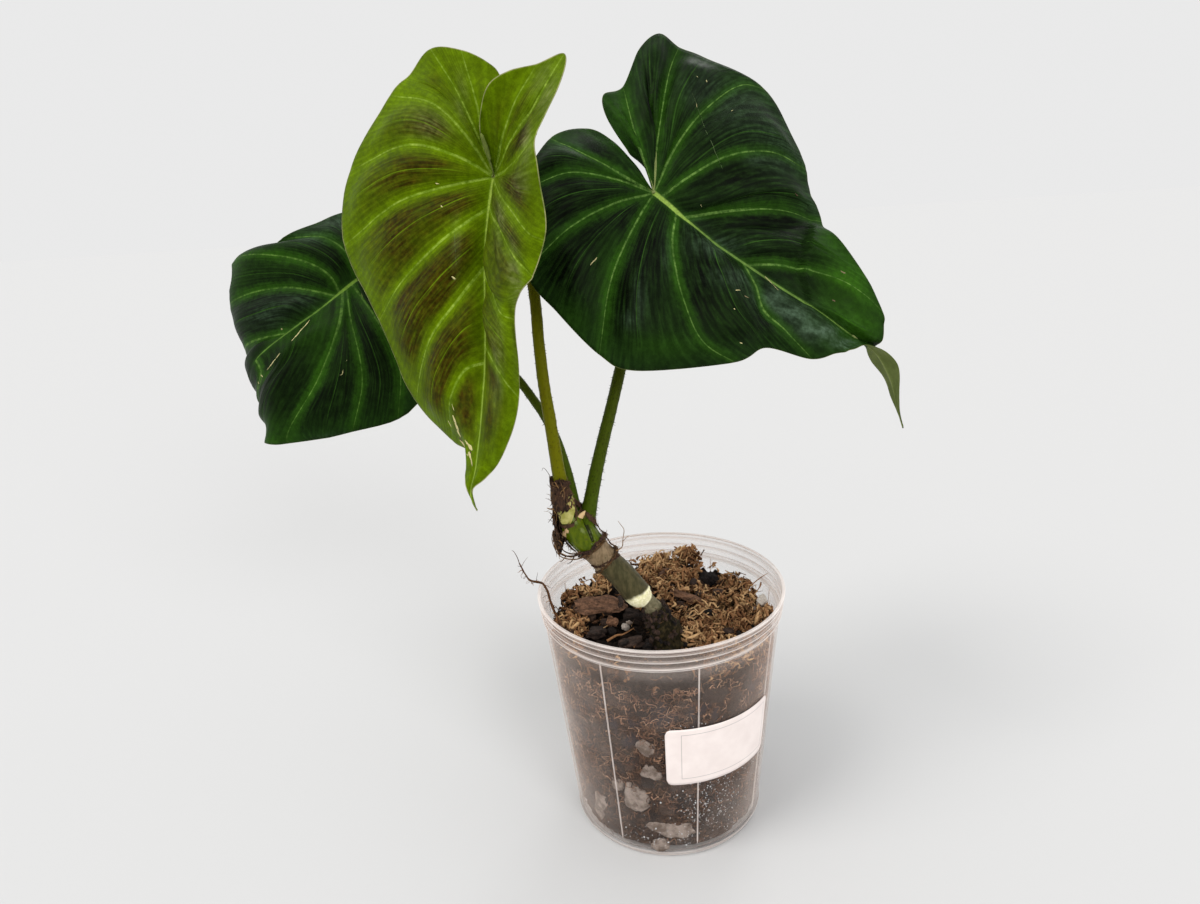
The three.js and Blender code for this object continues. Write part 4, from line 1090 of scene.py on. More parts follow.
def leaf_material(name, look):
    g = Graph(name)
    tone = {key: linear(*value) for key, value in look.items() if isinstance(value, tuple)}
    phase, gap, out = (g.attribute(key) for key in ("phase", "gap", "out"))
    rib, rim, tip, under = (g.attribute(key) for key in ("rib", "rim", "tip", "under"))
    dark_and_shade_spot, painted_sheen_spot, bright_spot = (g.attribute(key) for key in ("deep", "painted_sheen", "bright"))
    half = g.math("ABSOLUTE", g.less(g.math("FRACT", phase), 0.5))
    from_vein = g.times(g.less(0.5, half), gap)
    from_weak = g.times(half, gap)
    spread = g.step(gap, 2.0, 9.0)

    along = g.tree.nodes.new("ShaderNodeCombineXYZ")
    g.put(along.inputs[0], g.times(phase, 5))
    g.put(along.inputs[1], g.times(out, 2.2))
    streaks = g.noise(0.42, 3, 0.6, along.outputs[0])
    thin = g.tree.nodes.new("ShaderNodeCombineXYZ")
    g.put(thin.inputs[0], g.times(phase, 16))
    g.put(thin.inputs[1], g.times(out, 4.5))
    thin_streaks = g.noise(0.7, 2, 0.6, thin.outputs[0])
    broad = g.noise(13, 2)
    mottle = g.noise(2.3, 4, 0.62)
    grain = g.noise(0.45, 2)

    fine = g.math("SINE", g.add(g.times(phase, 2 * math.pi * 11), g.times(streaks, 7)))
    fine = g.times(g.math("POWER", g.add(g.times(fine, 0.5), 0.5), 2.4), spread)

    # The deep mask: the blade's own dark between its veins, and painted shade where the deep spots lie in
    # hollows and grooves.
    near_vein = g.step(from_vein, 0.8, g.add(3.4, g.times(streaks, 5)))
    near_rib = g.step(rib, 0.8, 7.0)
    near_rim = g.step(rim, g.add(0.5, g.times(broad, 3)), g.add(5.0, g.times(streaks, 14)))
    deep = g.times(near_vein, near_rib, near_rim)
    amount = g.add(look["deep_floor"], dark_and_shade_spot)
    ragged = g.step(streaks, 0.2, 0.66, look["ragged"], 1.1)
    deep = g.times(deep, amount, ragged, g.step(broad, 0.2, 0.6, 0.7, 1.12))
    deep = g.math("MINIMUM", deep, 1.0)

    colour = g.mix(g.step(rim, 2.0, 22.0, 1, 0), tone["field"], tone["field_far"])
    colour = g.mix(g.times(bright_spot, 0.8), colour, tone["bright"])
    colour = g.mix(deep, colour, g.mix(g.step(mottle, 0.25, 0.75), tone["deepest"], tone["deep"]))
    streaked = g.times(g.step(thin_streaks, 0.42, 0.75), look["streak"], spread)
    colour = g.mix(streaked, colour, tone["weak_vein"])
    colour = g.mix(g.times(fine, look["streak"], 0.4), colour, tone["weak_vein"])
    # Painted sheen: a grey velvet reflection laid on in streaks where its spots lie.
    sheen_streaks = g.times(g.step(mottle, 0.32, 0.68, 0.6, 1.1), g.step(thin_streaks, 0.36, 0.64, 0.3, 1.1))
    colour = g.mix(g.times(painted_sheen_spot, sheen_streaks), colour, tone["painted_sheen"])

    # Painted shade along the folds.
    colour = g.mix(g.times(g.attribute("fold_shade"), 0.62), colour, tone["crease"])
    weak_line = g.step(from_weak, 0.06, g.step(out, 0.0, 1.0, 0.34, 0.2), 1, 0)
    weak_fade = g.times(g.step(out, 0.06, 0.2), g.step(out, 0.72, 0.95, 1, 0.1), g.step(gap, 7.0, 14.0))
    weak_line = g.times(weak_line, weak_fade, look["weak"], g.step(streaks, 0.2, 0.6, 0.55, 1))
    colour = g.mix(weak_line, colour, tone["weak_vein"])
    reach, strength = look["halo"]
    halo = g.step(from_vein, 0.0, g.add(reach * 0.4, g.times(mottle, reach)), strength, 0)
    colour = g.mix(g.times(halo, g.step(out, 0.5, 1.0, 1, 0.5)), colour, tone["bright"])
    width = look["vein_width"]
    vein_wide = g.step(out, 0.0, 0.95, width, width * 0.42)
    vein_line = g.step(from_vein, g.times(vein_wide, 0.5), g.times(vein_wide, 1.25), 1, 0)
    vein_line = g.times(vein_line, g.step(out, 0.8, 1.0, 1, 0.35))
    colour = g.mix(vein_line, colour, g.mix(g.step(mottle, 0.3, 0.7), tone["weak_vein"], tone["vein"]))
    start, middle, end = look["rib_width"]
    rib_wide = g.add(g.step(tip, 0.03, 0.15, start - middle, 0), g.step(tip, 0.3, 1.0, middle, end))
    rib_line = g.step(rib, g.times(rib_wide, 0.55), g.times(rib_wide, 1.2), 1, 0)
    rib_tone = g.mix(g.step(tip, 0.05, 0.2, 1, 0.1), tone["vein"], tone["rib"])
    rib_glow = g.step(rib, 0.0, g.times(rib_wide, 3.4), look["rib_glow"], 0)
    colour = g.mix(rib_glow, colour, tone["weak_vein"])
    colour = g.mix(rib_line, colour, rib_tone)
    rim_line = g.step(rim, look["rim_width"] * 0.4, look["rim_width"], 1, 0)
    colour = g.mix(g.times(rim_line, g.step(broad, 0.3, 0.6, 0.35, 0.95)), colour, tone["rim"])
    mottled = g.step(mottle, 0.25, 0.75, 0.8, 1.2)
    grained = g.step(grain, 0.2, 0.8, 0.88, 1.12)
    shade = g.times(mottled, grained, g.step(broad, 0.3, 0.7, 0.84, 1.14))
    low, high = 1 - look["lined"], 1 + look["lined"]
    lined = g.step(fine, 0.0, 1.0, low, high)
    shade = g.times(shade, lined, g.step(thin_streaks, 0.3, 0.7, low, high))
    colour = g.tint(colour, shade)

    back = g.mix(g.times(g.most(vein_line, rib_line), 0.85), tone["under"], tone["under_vein"])
    back = g.tint(back, g.step(deep, 0.1, 0.9, 1.04, 0.8))
    back = g.mix(g.times(fine, 0.25), back, tone["under_vein"])
    back = g.tint(back, g.step(mottle, 0.2, 0.8, 0.84, 1.12))
    colour = g.mix(g.step(under, 0.3, 0.7), colour, back)

    height = g.add(g.times(fine, -0.35), g.times(mottle, 0.9))
    height = g.add(height, g.times(weak_line, -0.9))
    height = g.add(height, g.times(thin_streaks, 0.4))
    height = g.add(height, g.times(broad, 1.6))
    normal = g.bump(height, 0.11, 0.7)
    normal = g.bump(grain, 0.05, 0.5, normal)
    rough = g.step(mottle, 0.2, 0.8, look["rough"] - 0.08, look["rough"] + 0.1)
    rough = g.add(rough, g.times(rib_line, -0.08))
    rough = g.add(rough, g.times(under, 0.12))
    g.set(base_color=colour, roughness=rough, normal=normal)
    g.set(ior=1.42, specular_ior_level=look["gloss"], specular_tint=tone["shine"])
    return g.material


MARK_ROUNDS = 5
MARK_SUNK = 0.12
MARK_PROUD = 0.05
# Marks on the blades: from pixel, to pixel, width in mm, 0 cream to 1 tan, -1 pale green
FRONT_MARKS = [
    (452, 404, 454, 411, 0.5, 0.1), (453, 415, 456, 424, 1.7, 0.0), (455, 423, 459, 431, 2.1, 0.05),
    (457, 430, 461, 437, 1.9, 0.0), (459, 437, 462, 442, 1.5, 1.0), (460, 440, 465, 447, 1.5, 0.0),
    (465, 440, 469, 446, 1.4, 0.1), (468, 444, 472, 450, 1.6, 0.0), (467, 448, 471, 453, 1.5, 1.0),
    (469, 452, 471, 460, 2.1, 0.05), (471, 458, 472, 466, 1.1, 0.4), (465, 450, 468, 456, 1.0, 0.2),
    (448, 420, 451, 427, 0.5, 0.2), (452, 276, 455, 279, 1.1, 0.1), (424, 145, 426, 147, 0.6, 0.2),
    (455, 233, 456, 264, 0.12, -1), (436, 183, 438, 184, 0.6, 0.1), (441, 206, 442, 207, 0.5, 0.1),
]
RIGHT_MARKS = [
    (701, 118, 722, 168, 0.18, -1), (691, 88, 701, 118, 0.12, -1), (696, 103, 697, 107, 0.9, 0.5),
    (731, 110, 734, 112, 0.8, 0.3), (795, 194, 798, 196, 1.3, 1.0), (841, 271, 845, 273, 1.1, 0.6),
    (832, 300, 835, 301, 1, 0.7), (745, 296, 749, 298, 1, 0.6), (735, 290, 740, 290, 0.7, 0.2),
    (765, 276, 778, 290, 0.5, 0.4), (590, 265, 597, 257, 0.7, 0.4), (706, 80, 707, 82, 0.6, 0.1),
    (697, 76, 698, 77, 0.5, 0.1), (733, 309, 735, 310, 0.6, 0.2), (700, 205, 701, 207, 0.5, 0.1),
    (740, 342, 742, 343, 0.6, 0.2),
]
LEFT_MARKS = [
    (292, 341, 310, 320, 0.8, 0.1), (267, 370, 280, 353, 0.6, 0.2), (332, 378, 348, 360, 0.35, 0.3),
    (261, 375, 263, 377, 0.8, 0.4), (258, 382, 259, 384, 0.7, 0.4), (281, 328, 282, 330, 0.9, 0.5),
]


def scar_material():
    g = Graph("leaf_scars")
    tan = g.attribute("tan")
    colour = g.blend(tan, 0.2, 0.8, (198, 188, 132), (74, 52, 30))
    colour = g.mix(g.step(tan, -1, -0.4, 1, 0), colour, linear(92, 112, 66))
    colour = g.tint(colour, g.step(g.noise(0.6), 0.3, 0.7, 0.75, 1.1))
    g.set(base_color=colour, roughness=0.8)
    return g.material


def scars(heap, find, marks):
    """Thin dry slivers lying on a blade, from one pixel of the photograph to another."""
    for x0, y0, x1, y1, width, tan in marks:
        steps = max(4, int(math.hypot(x1 - x0, y1 - y0) / 1.5))
        shares = np.linspace(0, 1, steps + 1)
        places, upward = zip(*[find(lerp(x0, x1, t), lerp(y0, y1, t)) for t in shares])
        places, upward = settled(np.array(places), MARK_ROUNDS), unit(upward)
        side = unit(np.cross(unit(np.gradient(places, axis=0)), upward))
        wide = width / 2 * np.sin(math.pi * lerp(0.06, 0.94, shares)) ** 0.6
        wide = wide * (1 + 0.6 * noise(places, 0.8, 5))
        sunk, proud = places - upward * MARK_SUNK, places + upward * MARK_PROUD
        a = sunk - side * wide[:, None]
        b = sunk + side * wide[:, None]
        c = proud + side * wide[:, None] * 0.6
        d = proud - side * wide[:, None] * 0.6
        rings = np.stack([a, b, c, d], 1).reshape(-1, 3)
        heap.add(rings, ring_faces(steps + 1, 4), tan=tan)


def make_leaf(node, relief, tones, creases, look, slot, marks, scar):
    blade, top, normals = blade_mesh(node, relief)
    at = pixels(top)
    painted = {key: np.clip(blots(at, spots), 0, 1) for key, spots in tones.items()}
    # Painted shade along the folds, in narrower lines than their relief.
    narrow = [(line, depth, wide * FOLD_SHADE_SHARE) for line, depth, wide in creases]
    painted["fold_shade"] = np.clip(folds(at, narrow), 0, 1)
    for key, value in painted.items():
        value = value.astype(np.float32)
        layer = blade.data.attributes.new(key, "FLOAT", "POINT")
        layer.data.foreach_set("value", np.concatenate([value, value]))
    finish(blade, leaf_material(node + "_skin", look), slot, node)
    heap = Heap()
    scars(heap, surface_spots(top, normals), marks)
    finish(heap.object(node + "_scars"), scar, slot)
    return top, normals


scar = scar_material()
make_leaf("leaf_front", front_relief, FRONT_TONES, FRONT_FOLDS, LIGHT_LOOK, "leaf_light", FRONT_MARKS, scar)
make_leaf("leaf_right", right_relief, RIGHT_TONES, RIGHT_FOLDS, DARK_LOOK, "leaf_dark", RIGHT_MARKS, scar)
make_leaf("leaf_left", left_relief, LEFT_TONES, [], LEFT_LOOK, "leaf_dark", LEFT_MARKS, scar)


# Petioles and cane

PETIOLE_SIDES = 28
PETIOLE_STEPS = 14
BRISTLE_THICKNESS = (0.11, 0.2)
BRISTLE_SUNK = 0.12
BRISTLE_DROOP = 0.2
LONG_BRISTLES = 0.12
# Bristles of each stalk: random seed, count, length in mm, how crowded they are at its foot and at its blade
BRISTLES = {
    "petiole_front": (11, 600, (0.3, 0.8), 0.5, 1),
    "petiole_left": (12, 600, (0.35, 0.95), 0.7, 0.7),
    "petiole_right": (13, 900, (0.45, 1.2), 0.5, 1),
}


def bristle(heap, root, out, length, thick, droop):
    """A small tapering bristle that bends down a little."""
    side = unit(np.cross(out, [0.3, 0.5, 0.8]))
    across = np.cross(out, side)
    rings = []
    for share, wide in ((0, 1), (0.35, 0.62), (0.7, 0.4), (1, 0.12)):
        middle = root + out * length * share - np.array([0, 0, droop * length * share**2])
        for a in (0, 2.09, 4.19):
            rings.append(middle + thick * wide * (side * math.cos(a) + across * math.sin(a)))
    heap.add(rings, ring_faces(4, 3), hair=np.repeat([0, 0.35, 0.7, 1], 3))


def make_petiole(node, material, slot):
    """A stalk with low warts and bristles."""
    seed, count, lengths, crowd_low, crowd_high = BRISTLES[node]
    rng = random.Random(seed)
    route = PETIOLES[node]
    here, along, outward, radii, places = tube(route, PETIOLE_SIDES, PETIOLE_STEPS)
    last = len(route) - 1
    flat = here[:, None] + outward * radii[:, None, None]
    swell = 1 + 0.03 * noise(flat, 5, seed) + 0.035 * noise(flat, 1.1, seed + 1)
    swell += 0.05 * np.maximum(noise(flat, 0.7, seed + 2), 0) ** 2
    swell += 0.02 * np.cos(3 * circle(PETIOLE_SIDES))[None]
    full = radii[:, None] * swell
    heap = Heap()
    share = np.repeat(places / last, PETIOLE_SIDES)
    faces = ring_faces(len(here), PETIOLE_SIDES)
    heap.add(tube_points(here, outward, full), faces, share=share, hair=0)
    made = 0
    while made < count:
        ring, side = rng.randrange(2, len(here) - 2), rng.randrange(PETIOLE_SIDES)
        if rng.random() > lerp(crowd_low, crowd_high, places[ring] / last):
            continue
        out = outward[ring, side]
        root = here[ring] + out * (full[ring, side] - BRISTLE_SUNK)
        lean = unit(out + along[ring] * rng.uniform(-0.3, 0.5) + cross_noise(rng, 0.3))
        length = rng.uniform(*lengths) * (1.6 if rng.random() < LONG_BRISTLES else 1)
        bristle(heap, root, lean, length, rng.uniform(*BRISTLE_THICKNESS), BRISTLE_DROOP)
        heap.attributes["share"].append(np.full(12, places[ring] / last))
        made += 1
    finish(heap.object(node + "_stalk"), material, slot, node)
    return flat.reshape(-1, 3), outward.reshape(-1, 3)


def petiole_material(name, low, high, warts, tip):
    """Colours at the foot, at the blade, of warts and bristles, and at the very tip."""
    g = Graph(name)
    share, hair = g.attribute("share"), g.attribute("hair")
    streak = g.noise(1.6, 3, 0.6, g.place((1, 1, 0.12)))
    mottle = g.noise(1.1, 3, 0.6)
    colour = g.mix(share, linear(*low), linear(*high))
    colour = g.mix(g.step(share, 0.9, 1.0, 0, 0.7), colour, linear(*tip))
    colour = g.mix(g.step(streak, 0.4, 0.7, 0, 0.35), colour, linear(*warts))
    colour = g.mix(g.step(mottle, 0.56, 0.72, 0, 0.4), colour, linear(*warts))
    dots = g.step(g.cells(1.3), 0.1, 0.26, 0.75, 0)
    colour = g.mix(dots, colour, linear(*warts))
    colour = g.tint(colour, g.step(streak, 0.2, 0.8, 0.85, 1.15))
    colour = g.mix(g.step(hair, 0.05, 0.6), colour, linear(*warts))
    normal = g.bump(g.add(mottle, g.times(dots, 2)), 0.14, 0.7)
    g.set(base_color=colour, roughness=0.52, normal=normal)
    g.set(specular_ior_level=0.2, specular_tint=linear(200, 210, 120))
    return g.material


LIGHT_STALK = ((110, 110, 4), (84, 84, 6), (70, 60, 8), (118, 134, 50))
DARK_STALK = ((62, 84, 8), (58, 58, 12), (34, 33, 10), (100, 118, 50))

light_stalk = petiole_material("petiole_light_skin", *LIGHT_STALK)
dark_stalk = petiole_material("petiole_dark_skin", *DARK_STALK)
limbs = [
    make_petiole("petiole_front", light_stalk, "petiole_light"),
    make_petiole("petiole_left", dark_stalk, "petiole_dark"),
    make_petiole("petiole_right", dark_stalk, "petiole_dark"),
]


# Cane: places along STEM of the parts that its colours change between
NECK = 3.3
PALE_END = 4.9
LOWER_SCAR = 10
UPPER_SCAR = 13
CANE_SIDES = 56
CANE_STEPS = 16
# The groove down the green part and the dormant bud, by pixels; the groove is also painted near black as
# shade
GROOVE = [(584, 514), (587, 524), (590, 532), (593, 541)]
EYE = (612, 546)


def make_cane():
    here, _, outward, radii, places = tube(STEM, CANE_SIDES, CANE_STEPS)
    flat = here[:, None] + outward * radii[:, None, None]
    place = places[:, None]
    at = pixels(flat.reshape(-1, 3))
    seen = (((CAMERA_AT - flat) * outward).sum(-1) > 0).ravel()
    rough_part = ramp(NECK + 0.2, NECK - 0.5, place)
    swell = 1 + 0.012 * noise(flat, 3.5, 3) + 0.004 * noise(flat, 1.0, 4)
    crumbled = 0.2 * noise(flat, 3.4, 5) + 0.13 * noise(flat, 1.5, 6) + 0.06 * noise(flat, 0.7, 7)
    swell += rough_part * crumbled
    for scar_place, deep in ((LOWER_SCAR, 0.05), (UPPER_SCAR, 0.06)):
        wavy = place + 0.26 * noise(flat, 4.5, 8) + 0.16 * noise(flat, 1.8, 15)
        lip = np.exp(-(((wavy - scar_place) / 0.16) ** 2))
        swell += deep * lip * (1 + 1.6 * noise(flat, 1.1, 9))
        swell -= 0.02 * np.exp(-(((wavy - scar_place - 0.45) / 0.2) ** 2))
    away, along_it = from_line(at, GROOVE)
    groove = (seen * np.exp(-((away / lerp(2.4, 1.1, along_it)) ** 2))).reshape(swell.shape)
    swell -= 0.17 * groove
    eye = (seen * np.exp(-((np.linalg.norm(at - EYE, axis=1) / 3.4) ** 2))).reshape(swell.shape)
    swell += 0.09 * eye
    full = radii[:, None] * swell
    heap = Heap()
    heap.add(
        tube_points(here, outward, full),
        ring_faces(len(here), CANE_SIDES),
        place=np.repeat(places, CANE_SIDES),
        groove=groove.ravel(),
        eye=eye.ravel(),
        low=(outward @ np.array([0.35, -0.25, -0.9])).ravel(),
    )
    return heap.object("cane"), here, outward, full


def cane_material():
    g = Graph("cane_skin")
    place, groove, eye, low = (g.attribute(key) for key in ("place", "groove", "eye", "low"))
    wave = g.times(g.less(g.noise(4.5, 2), 0.5), 0.5)
    at = g.add(place, wave)
    mottle = g.noise(1.3, 4, 0.6)
    streak = g.noise(1.8, 3, 0.6, g.place((1, 1, 0.3)))
    dark_stub = g.blend(g.noise(2.2, 4), 0.45, 0.62, (20, 14, 9), (52, 42, 26))
    grey_neck = g.blend(mottle, 0.3, 0.7, (92, 86, 66), (124, 116, 92))
    pale = g.blend(mottle, 0.3, 0.7, (236, 230, 176), (252, 246, 214))
    grey_green = g.blend(streak, 0.3, 0.7, (54, 50, 32), (82, 74, 50))
    tan_grey = g.blend(streak, 0.3, 0.7, (104, 86, 64), (142, 120, 94))
    green = g.blend(streak, 0.3, 0.7, (60, 78, 2), (86, 100, 4))
    brown = g.blend(mottle, 0.35, 0.65, (42, 24, 14), (92, 64, 40))
    colour = g.mix(g.step(at, NECK - 0.5, NECK - 0.1), dark_stub, grey_neck)
    colour = g.mix(g.step(at, PALE_END - 0.5, PALE_END - 0.2), colour, pale)
    tilt = g.times(low, 1.1)
    colour = g.mix(g.step(g.less(at, tilt), 6.5, 6.9), colour, grey_green)
    colour = g.mix(g.step(at, LOWER_SCAR, LOWER_SCAR + 0.3), colour, tan_grey)
    colour = g.mix(g.step(at, UPPER_SCAR, UPPER_SCAR + 0.3), colour, green)
    for scar_place, wide in ((LOWER_SCAR, 0.34), (UPPER_SCAR, 0.42)):
        ring = g.line(at, scar_place + 0.1, wide)
        colour = g.mix(g.times(ring, g.step(mottle, 0.3, 0.55, 0.45, 1)), colour, brown)
    spots = g.times(g.step(g.cells(3.4), 0.1, 0.18, 1, 0), g.step(place, 5.5, 7.0))
    colour = g.mix(g.times(spots, 0.5), colour, linear(62, 56, 34))
    # Painted shade: the groove near black.
    colour = g.mix(g.step(groove, 0.1, 0.6, 0, 0.95), colour, linear(14, 20, 3))
    colour = g.mix(g.step(eye, 0.2, 0.7, 0, 0.9), colour, brown)
    colour = g.tint(colour, g.step(mottle, 0.2, 0.8, 0.88, 1.1))
    gloss = g.step(place, UPPER_SCAR, UPPER_SCAR + 0.5, 0.5, 0.2)
    gloss = g.add(gloss, g.step(place, NECK, PALE_END, 0.35, 0))
    gloss = g.add(gloss, g.step(mottle, 0.2, 0.8, -0.05, 0.08))
    crumb = g.times(g.step(place, NECK, PALE_END, 3, 0), g.noise(0.9, 3))
    normal = g.bump(g.add(mottle, crumb), 0.12, 0.6)
    g.set(base_color=colour, roughness=gloss, normal=normal)
    g.set(specular_ior_level=0.3, specular_tint=linear(220, 225, 170))
    return g.material


cane, cane_middles, cane_outward, cane_radii = make_cane()
finish(cane, cane_material(), "stem", "stem")
limbs.append((tube_points(cane_middles, cane_outward, cane_radii), cane_outward.reshape(-1, 3)))
on_limb = surface_spots(*(np.vstack(parts) for parts in zip(*limbs)))


# Torn dry sheets, fibres and hairs

def sheet(heap, grid, thickness, **attributes):
    """A closed thin plate over a grid of points (rows x columns x 3)."""
    rows, columns = grid.shape[:2]
    run, cross = np.gradient(grid, axis=0), np.gradient(grid, axis=1)
    normal = unit(np.cross(cross, run))
    top = (grid + normal * thickness / 2).reshape(-1, 3)
    under = (grid - normal * thickness / 2).reshape(-1, 3)
    n = rows * columns
    index = np.arange(n).reshape(rows, columns)
    a, b, c, d = index[:-1, :-1], index[:-1, 1:], index[1:, 1:], index[1:, :-1]
    faces = np.stack([a, b, c], -1).reshape(-1, 3), np.stack([a, c, d], -1).reshape(-1, 3)
    faces = np.vstack(faces)
    doubled = {}
    for key, value in attributes.items():
        value = np.broadcast_to(np.asarray(value, float), grid.shape[:2]).ravel()
        doubled[key] = np.concatenate([value, value])
    closed = np.vstack([faces, faces[:, ::-1] + n, rim_walls(faces, n)])
    heap.add(np.vstack([top, under]), closed, **doubled)


def fibre(heap, points, thick, sides=4, steps=5, **attributes):
    """A thin hair or root through points, tapering to its end."""
    points = np.asarray(points, float)
    radii = thick * np.linspace(1, 0.35, len(points))
    here, _, outward, radii, _ = tube(np.column_stack([points, radii]), sides, steps, (0.31, 0.77, 0.56))
    heap.add(tube_points(here, outward, radii), ring_faces(len(here), sides), **attributes)


SHEATH_ROUTE = [
    [-34.8, -20.4, 151.8, 7.4],
    [-37.8, -19.9, 157, 8.9],
    [-39.6, -19.4, 163.5, 8.5],
    [-41.8, -19.3, 171, 6.0],
    [-43.2, -19.4, 180, 4.3],
    [-43.6, -19.1, 189.5, 3.8],
    [-44.4, -18.6, 197, 3.5],
]


def sheath_frame(place):
    route = np.array(SHEATH_ROUTE)
    last = len(route) - 1
    here = smooth_along(route[:, :3], np.array([place]))[0]
    ahead = smooth_along(route[:, :3], np.array([min(place + 0.1, last)]))[0]
    behind = smooth_along(route[:, :3], np.array([max(place - 0.1, 0)]))[0]
    along = unit(ahead - behind)
    left = np.array([-1.0, 0, 0])
    left = unit(left - along * left.dot(along))
    front = np.cross(along, left)
    return here, along, left, front, smooth_along(route[:, 3], np.array([place]))[0]


SHEATH_FIBRES = 170
SHEET_ROWS = 30
SHEET_COLUMNS = 18
SHEET_THICKNESS = 0.22
SHRED_THICKNESS = 0.24
SHRED_COLUMNS = 9
SHRED_ROUNDS = 6
PATCH_TONE = 0.9

# Each torn sheet: from place, to place, from angle, to angle, stand-off in mm, seed, tone 0 brown to 1 pale
SHEATH_SHEETS = [
    (1.1, 3.2, -60, 40, 0.2, 1, 0.05),
    (1.0, 2.2, -50, 26, 0.6, 6, 0.0),
    (1.9, 4.5, -110, -22, 0.5, 2, 0.25),
    (3.75, 4.9, -60, 50, 0.3, 3, 0.0),
    (3.6, 5.0, 20, 150, 0.3, 4, 0.1),
    (3.9, 5.05, -100, 60, 0.7, 5, 0.2),
    (1.5, 2.3, 6, 40, 0.9, 8, 0.3),
]

# Torn strips lying on the limbs: pixels, width and stand-off in mm, radius of the limb, tone.
# The one of tone 1 is the smooth pale patch.
SHREDS = [
    (
        [
            (555, 482), (556, 490), (557, 499), (557, 508), (556, 517), (557, 526),
            (559, 535), (562, 544), (567, 551),
        ],
        4.0, 0.7, 4.5, 0.12,
    ),
    ([(561, 481), (562, 489), (564, 497), (567, 503)], 4.2, 0.5, 3.6, 0.05),
    ([(551, 484), (556, 483), (562, 482), (568, 484)], 2.6, 0.9, 3.6, 0.2),
    (
        [
            (564, 483), (568, 491), (573, 499), (580, 507), (587, 515), (594, 522),
            (601, 528), (607, 532), (613, 532),
        ],
        2.0, 0.6, 5.5, 0.2,
    ),
    ([(571, 502), (574, 508), (575, 514), (577, 519)], 2.5, 0.7, 5.0, 0.25),
    ([(555, 527), (562, 526), (568, 526), (574, 523), (580, 519)], 1.8, 0.7, 6.5, 0.2),
    ([(571, 499), (568, 504), (566, 510), (566, 516), (567, 523)], 7.6, 1.0, 5.0, 1.0),
    (
        [(556, 541), (560, 548), (566, 553), (573, 555), (582, 554), (590, 551), (597, 545), (601, 538)],
        2.0, 0.35, 7.0, 0.0,
    ),
    ([(600, 540), (604, 535), (611, 533)], 2.0, 0.4, 7.0, 0.2),
    ([(610, 537), (614, 543), (617, 549), (615, 554)], 2.3, 0.35, 6.5, 0.25),
    ([(592, 565), (598, 567), (605, 564), (612, 560), (619, 555)], 1.1, 0.25, 6.5, 0.0),
]

# Loose hairs of the sheath, by pixels from the root on, with thickness in mm and tone
SHEATH_HAIRS = [
    ([(553, 481), (550, 476), (546, 470), (543, 468), (542, 471)], 0.16, 0.2),
    ([(554, 509), (550, 509), (547, 508)], 0.5, 0.5),
    ([(556, 489), (552, 486), (550, 482)], 0.2, 0.1),
    ([(582, 553), (574, 556), (566, 556), (560, 553), (556, 545), (554, 536), (555, 528)], 0.5, 0.1),
    ([(584, 552), (576, 554), (568, 553), (562, 549), (558, 541), (556, 531)], 0.42, 0.0),
    ([(586, 555), (578, 559), (568, 559), (560, 556), (555, 549), (552, 540), (553, 530)], 0.34, 0.3),
    ([(580, 551), (572, 557), (563, 554), (557, 550), (554, 541)], 0.3, 0.45),
    ([(574, 557), (571, 562), (567, 564)], 0.3, 0.1),
    ([(566, 556), (562, 561), (559, 561)], 0.24, 0.2),
]
HAIR_OFF = 0.6
# Tan chips: from pixel, to pixel, width in mm, tone
SHEATH_CHIPS = [
    (576, 521, 584, 512, 3.5, 0.85),
    (560, 538, 570, 528, 2.6, 0.8),
]
CHIP_OFF = 1.1
CHIP_THICKNESS = 0.6


def shred(heap, rng, line, wide, off, hug, tone, seed):
    """A ragged strip with a frayed edge along pixels of the photograph, bent round a limb of radius hug."""
    line = np.asarray(line, float)
    length = np.concatenate([[0], np.cumsum(np.linalg.norm(np.diff(line, axis=0), axis=1))])
    rows = max(10, int(length[-1] / 1.2))
    reach = np.linspace(0, length[-1], rows)
    spots = [on_limb(np.interp(r, length, line[:, 0]), np.interp(r, length, line[:, 1])) for r in reach]
    middle, upward = (settled(np.array(part), SHRED_ROUNDS) for part in zip(*spots))
    upward = unit(upward)
    side = unit(np.cross(np.gradient(middle, axis=0), upward))
    walk = np.stack([reach * 0.44, 0 * reach, 0 * reach], 1)
    end = np.sin(math.pi * np.linspace(0.08, 0.92, rows)) ** 0.45
    patch = tone > PATCH_TONE
    torn = 0.12 if patch else 1
    edges = []
    for k in (0, 3):
        ragged = 0.5 * noise(walk, 2.6, seed + k) + 0.55 * noise(walk, 0.9, seed + k + 1)
        edges.append(end * (1 + torn * ragged))
    across = np.linspace(-1, 1, SHRED_COLUMNS)[None]
    slide = wide / 2 * across * np.where(across < 0, edges[0][:, None], edges[1][:, None])
    grid = middle[:, None] + side[:, None] * slide[..., None]
    curl = 0.35 * np.abs(across) ** 3 * (1 + noise(walk, 2, seed + 7))[:, None]
    crumple = 0.34 * noise(grid, 1.8, seed + 8) + 0.26 * noise(grid, 0.8, seed + 9)
    grid = grid + upward[:, None] * (off - slide**2 / (2 * hug) + curl + crumple * (not patch))[..., None]
    sheet(heap, grid, SHRED_THICKNESS, tone=tone)
    for _ in range(0 if patch else int(length[-1] * 0.6)):
        r, edge = rng.randrange(1, rows - 1), rng.choice([0, SHRED_COLUMNS - 1])
        root = grid[r, edge]
        out = side[r] * (1 if edge else -1) * rng.uniform(0.3, 1) + upward[r] * rng.uniform(-0.1, 0.5)
        lean = unit(out + cross_noise(rng, 0.6)) * rng.uniform(0.6, 2.2)
        third = root + lean * 0.8 + cross_noise(rng, 0.15)
        points = [root - lean * 0.3, root + lean * 0.4, third, root + lean]
        fibre(heap, points, rng.uniform(0.07, 0.16), tone=rng.uniform(0, 0.5))


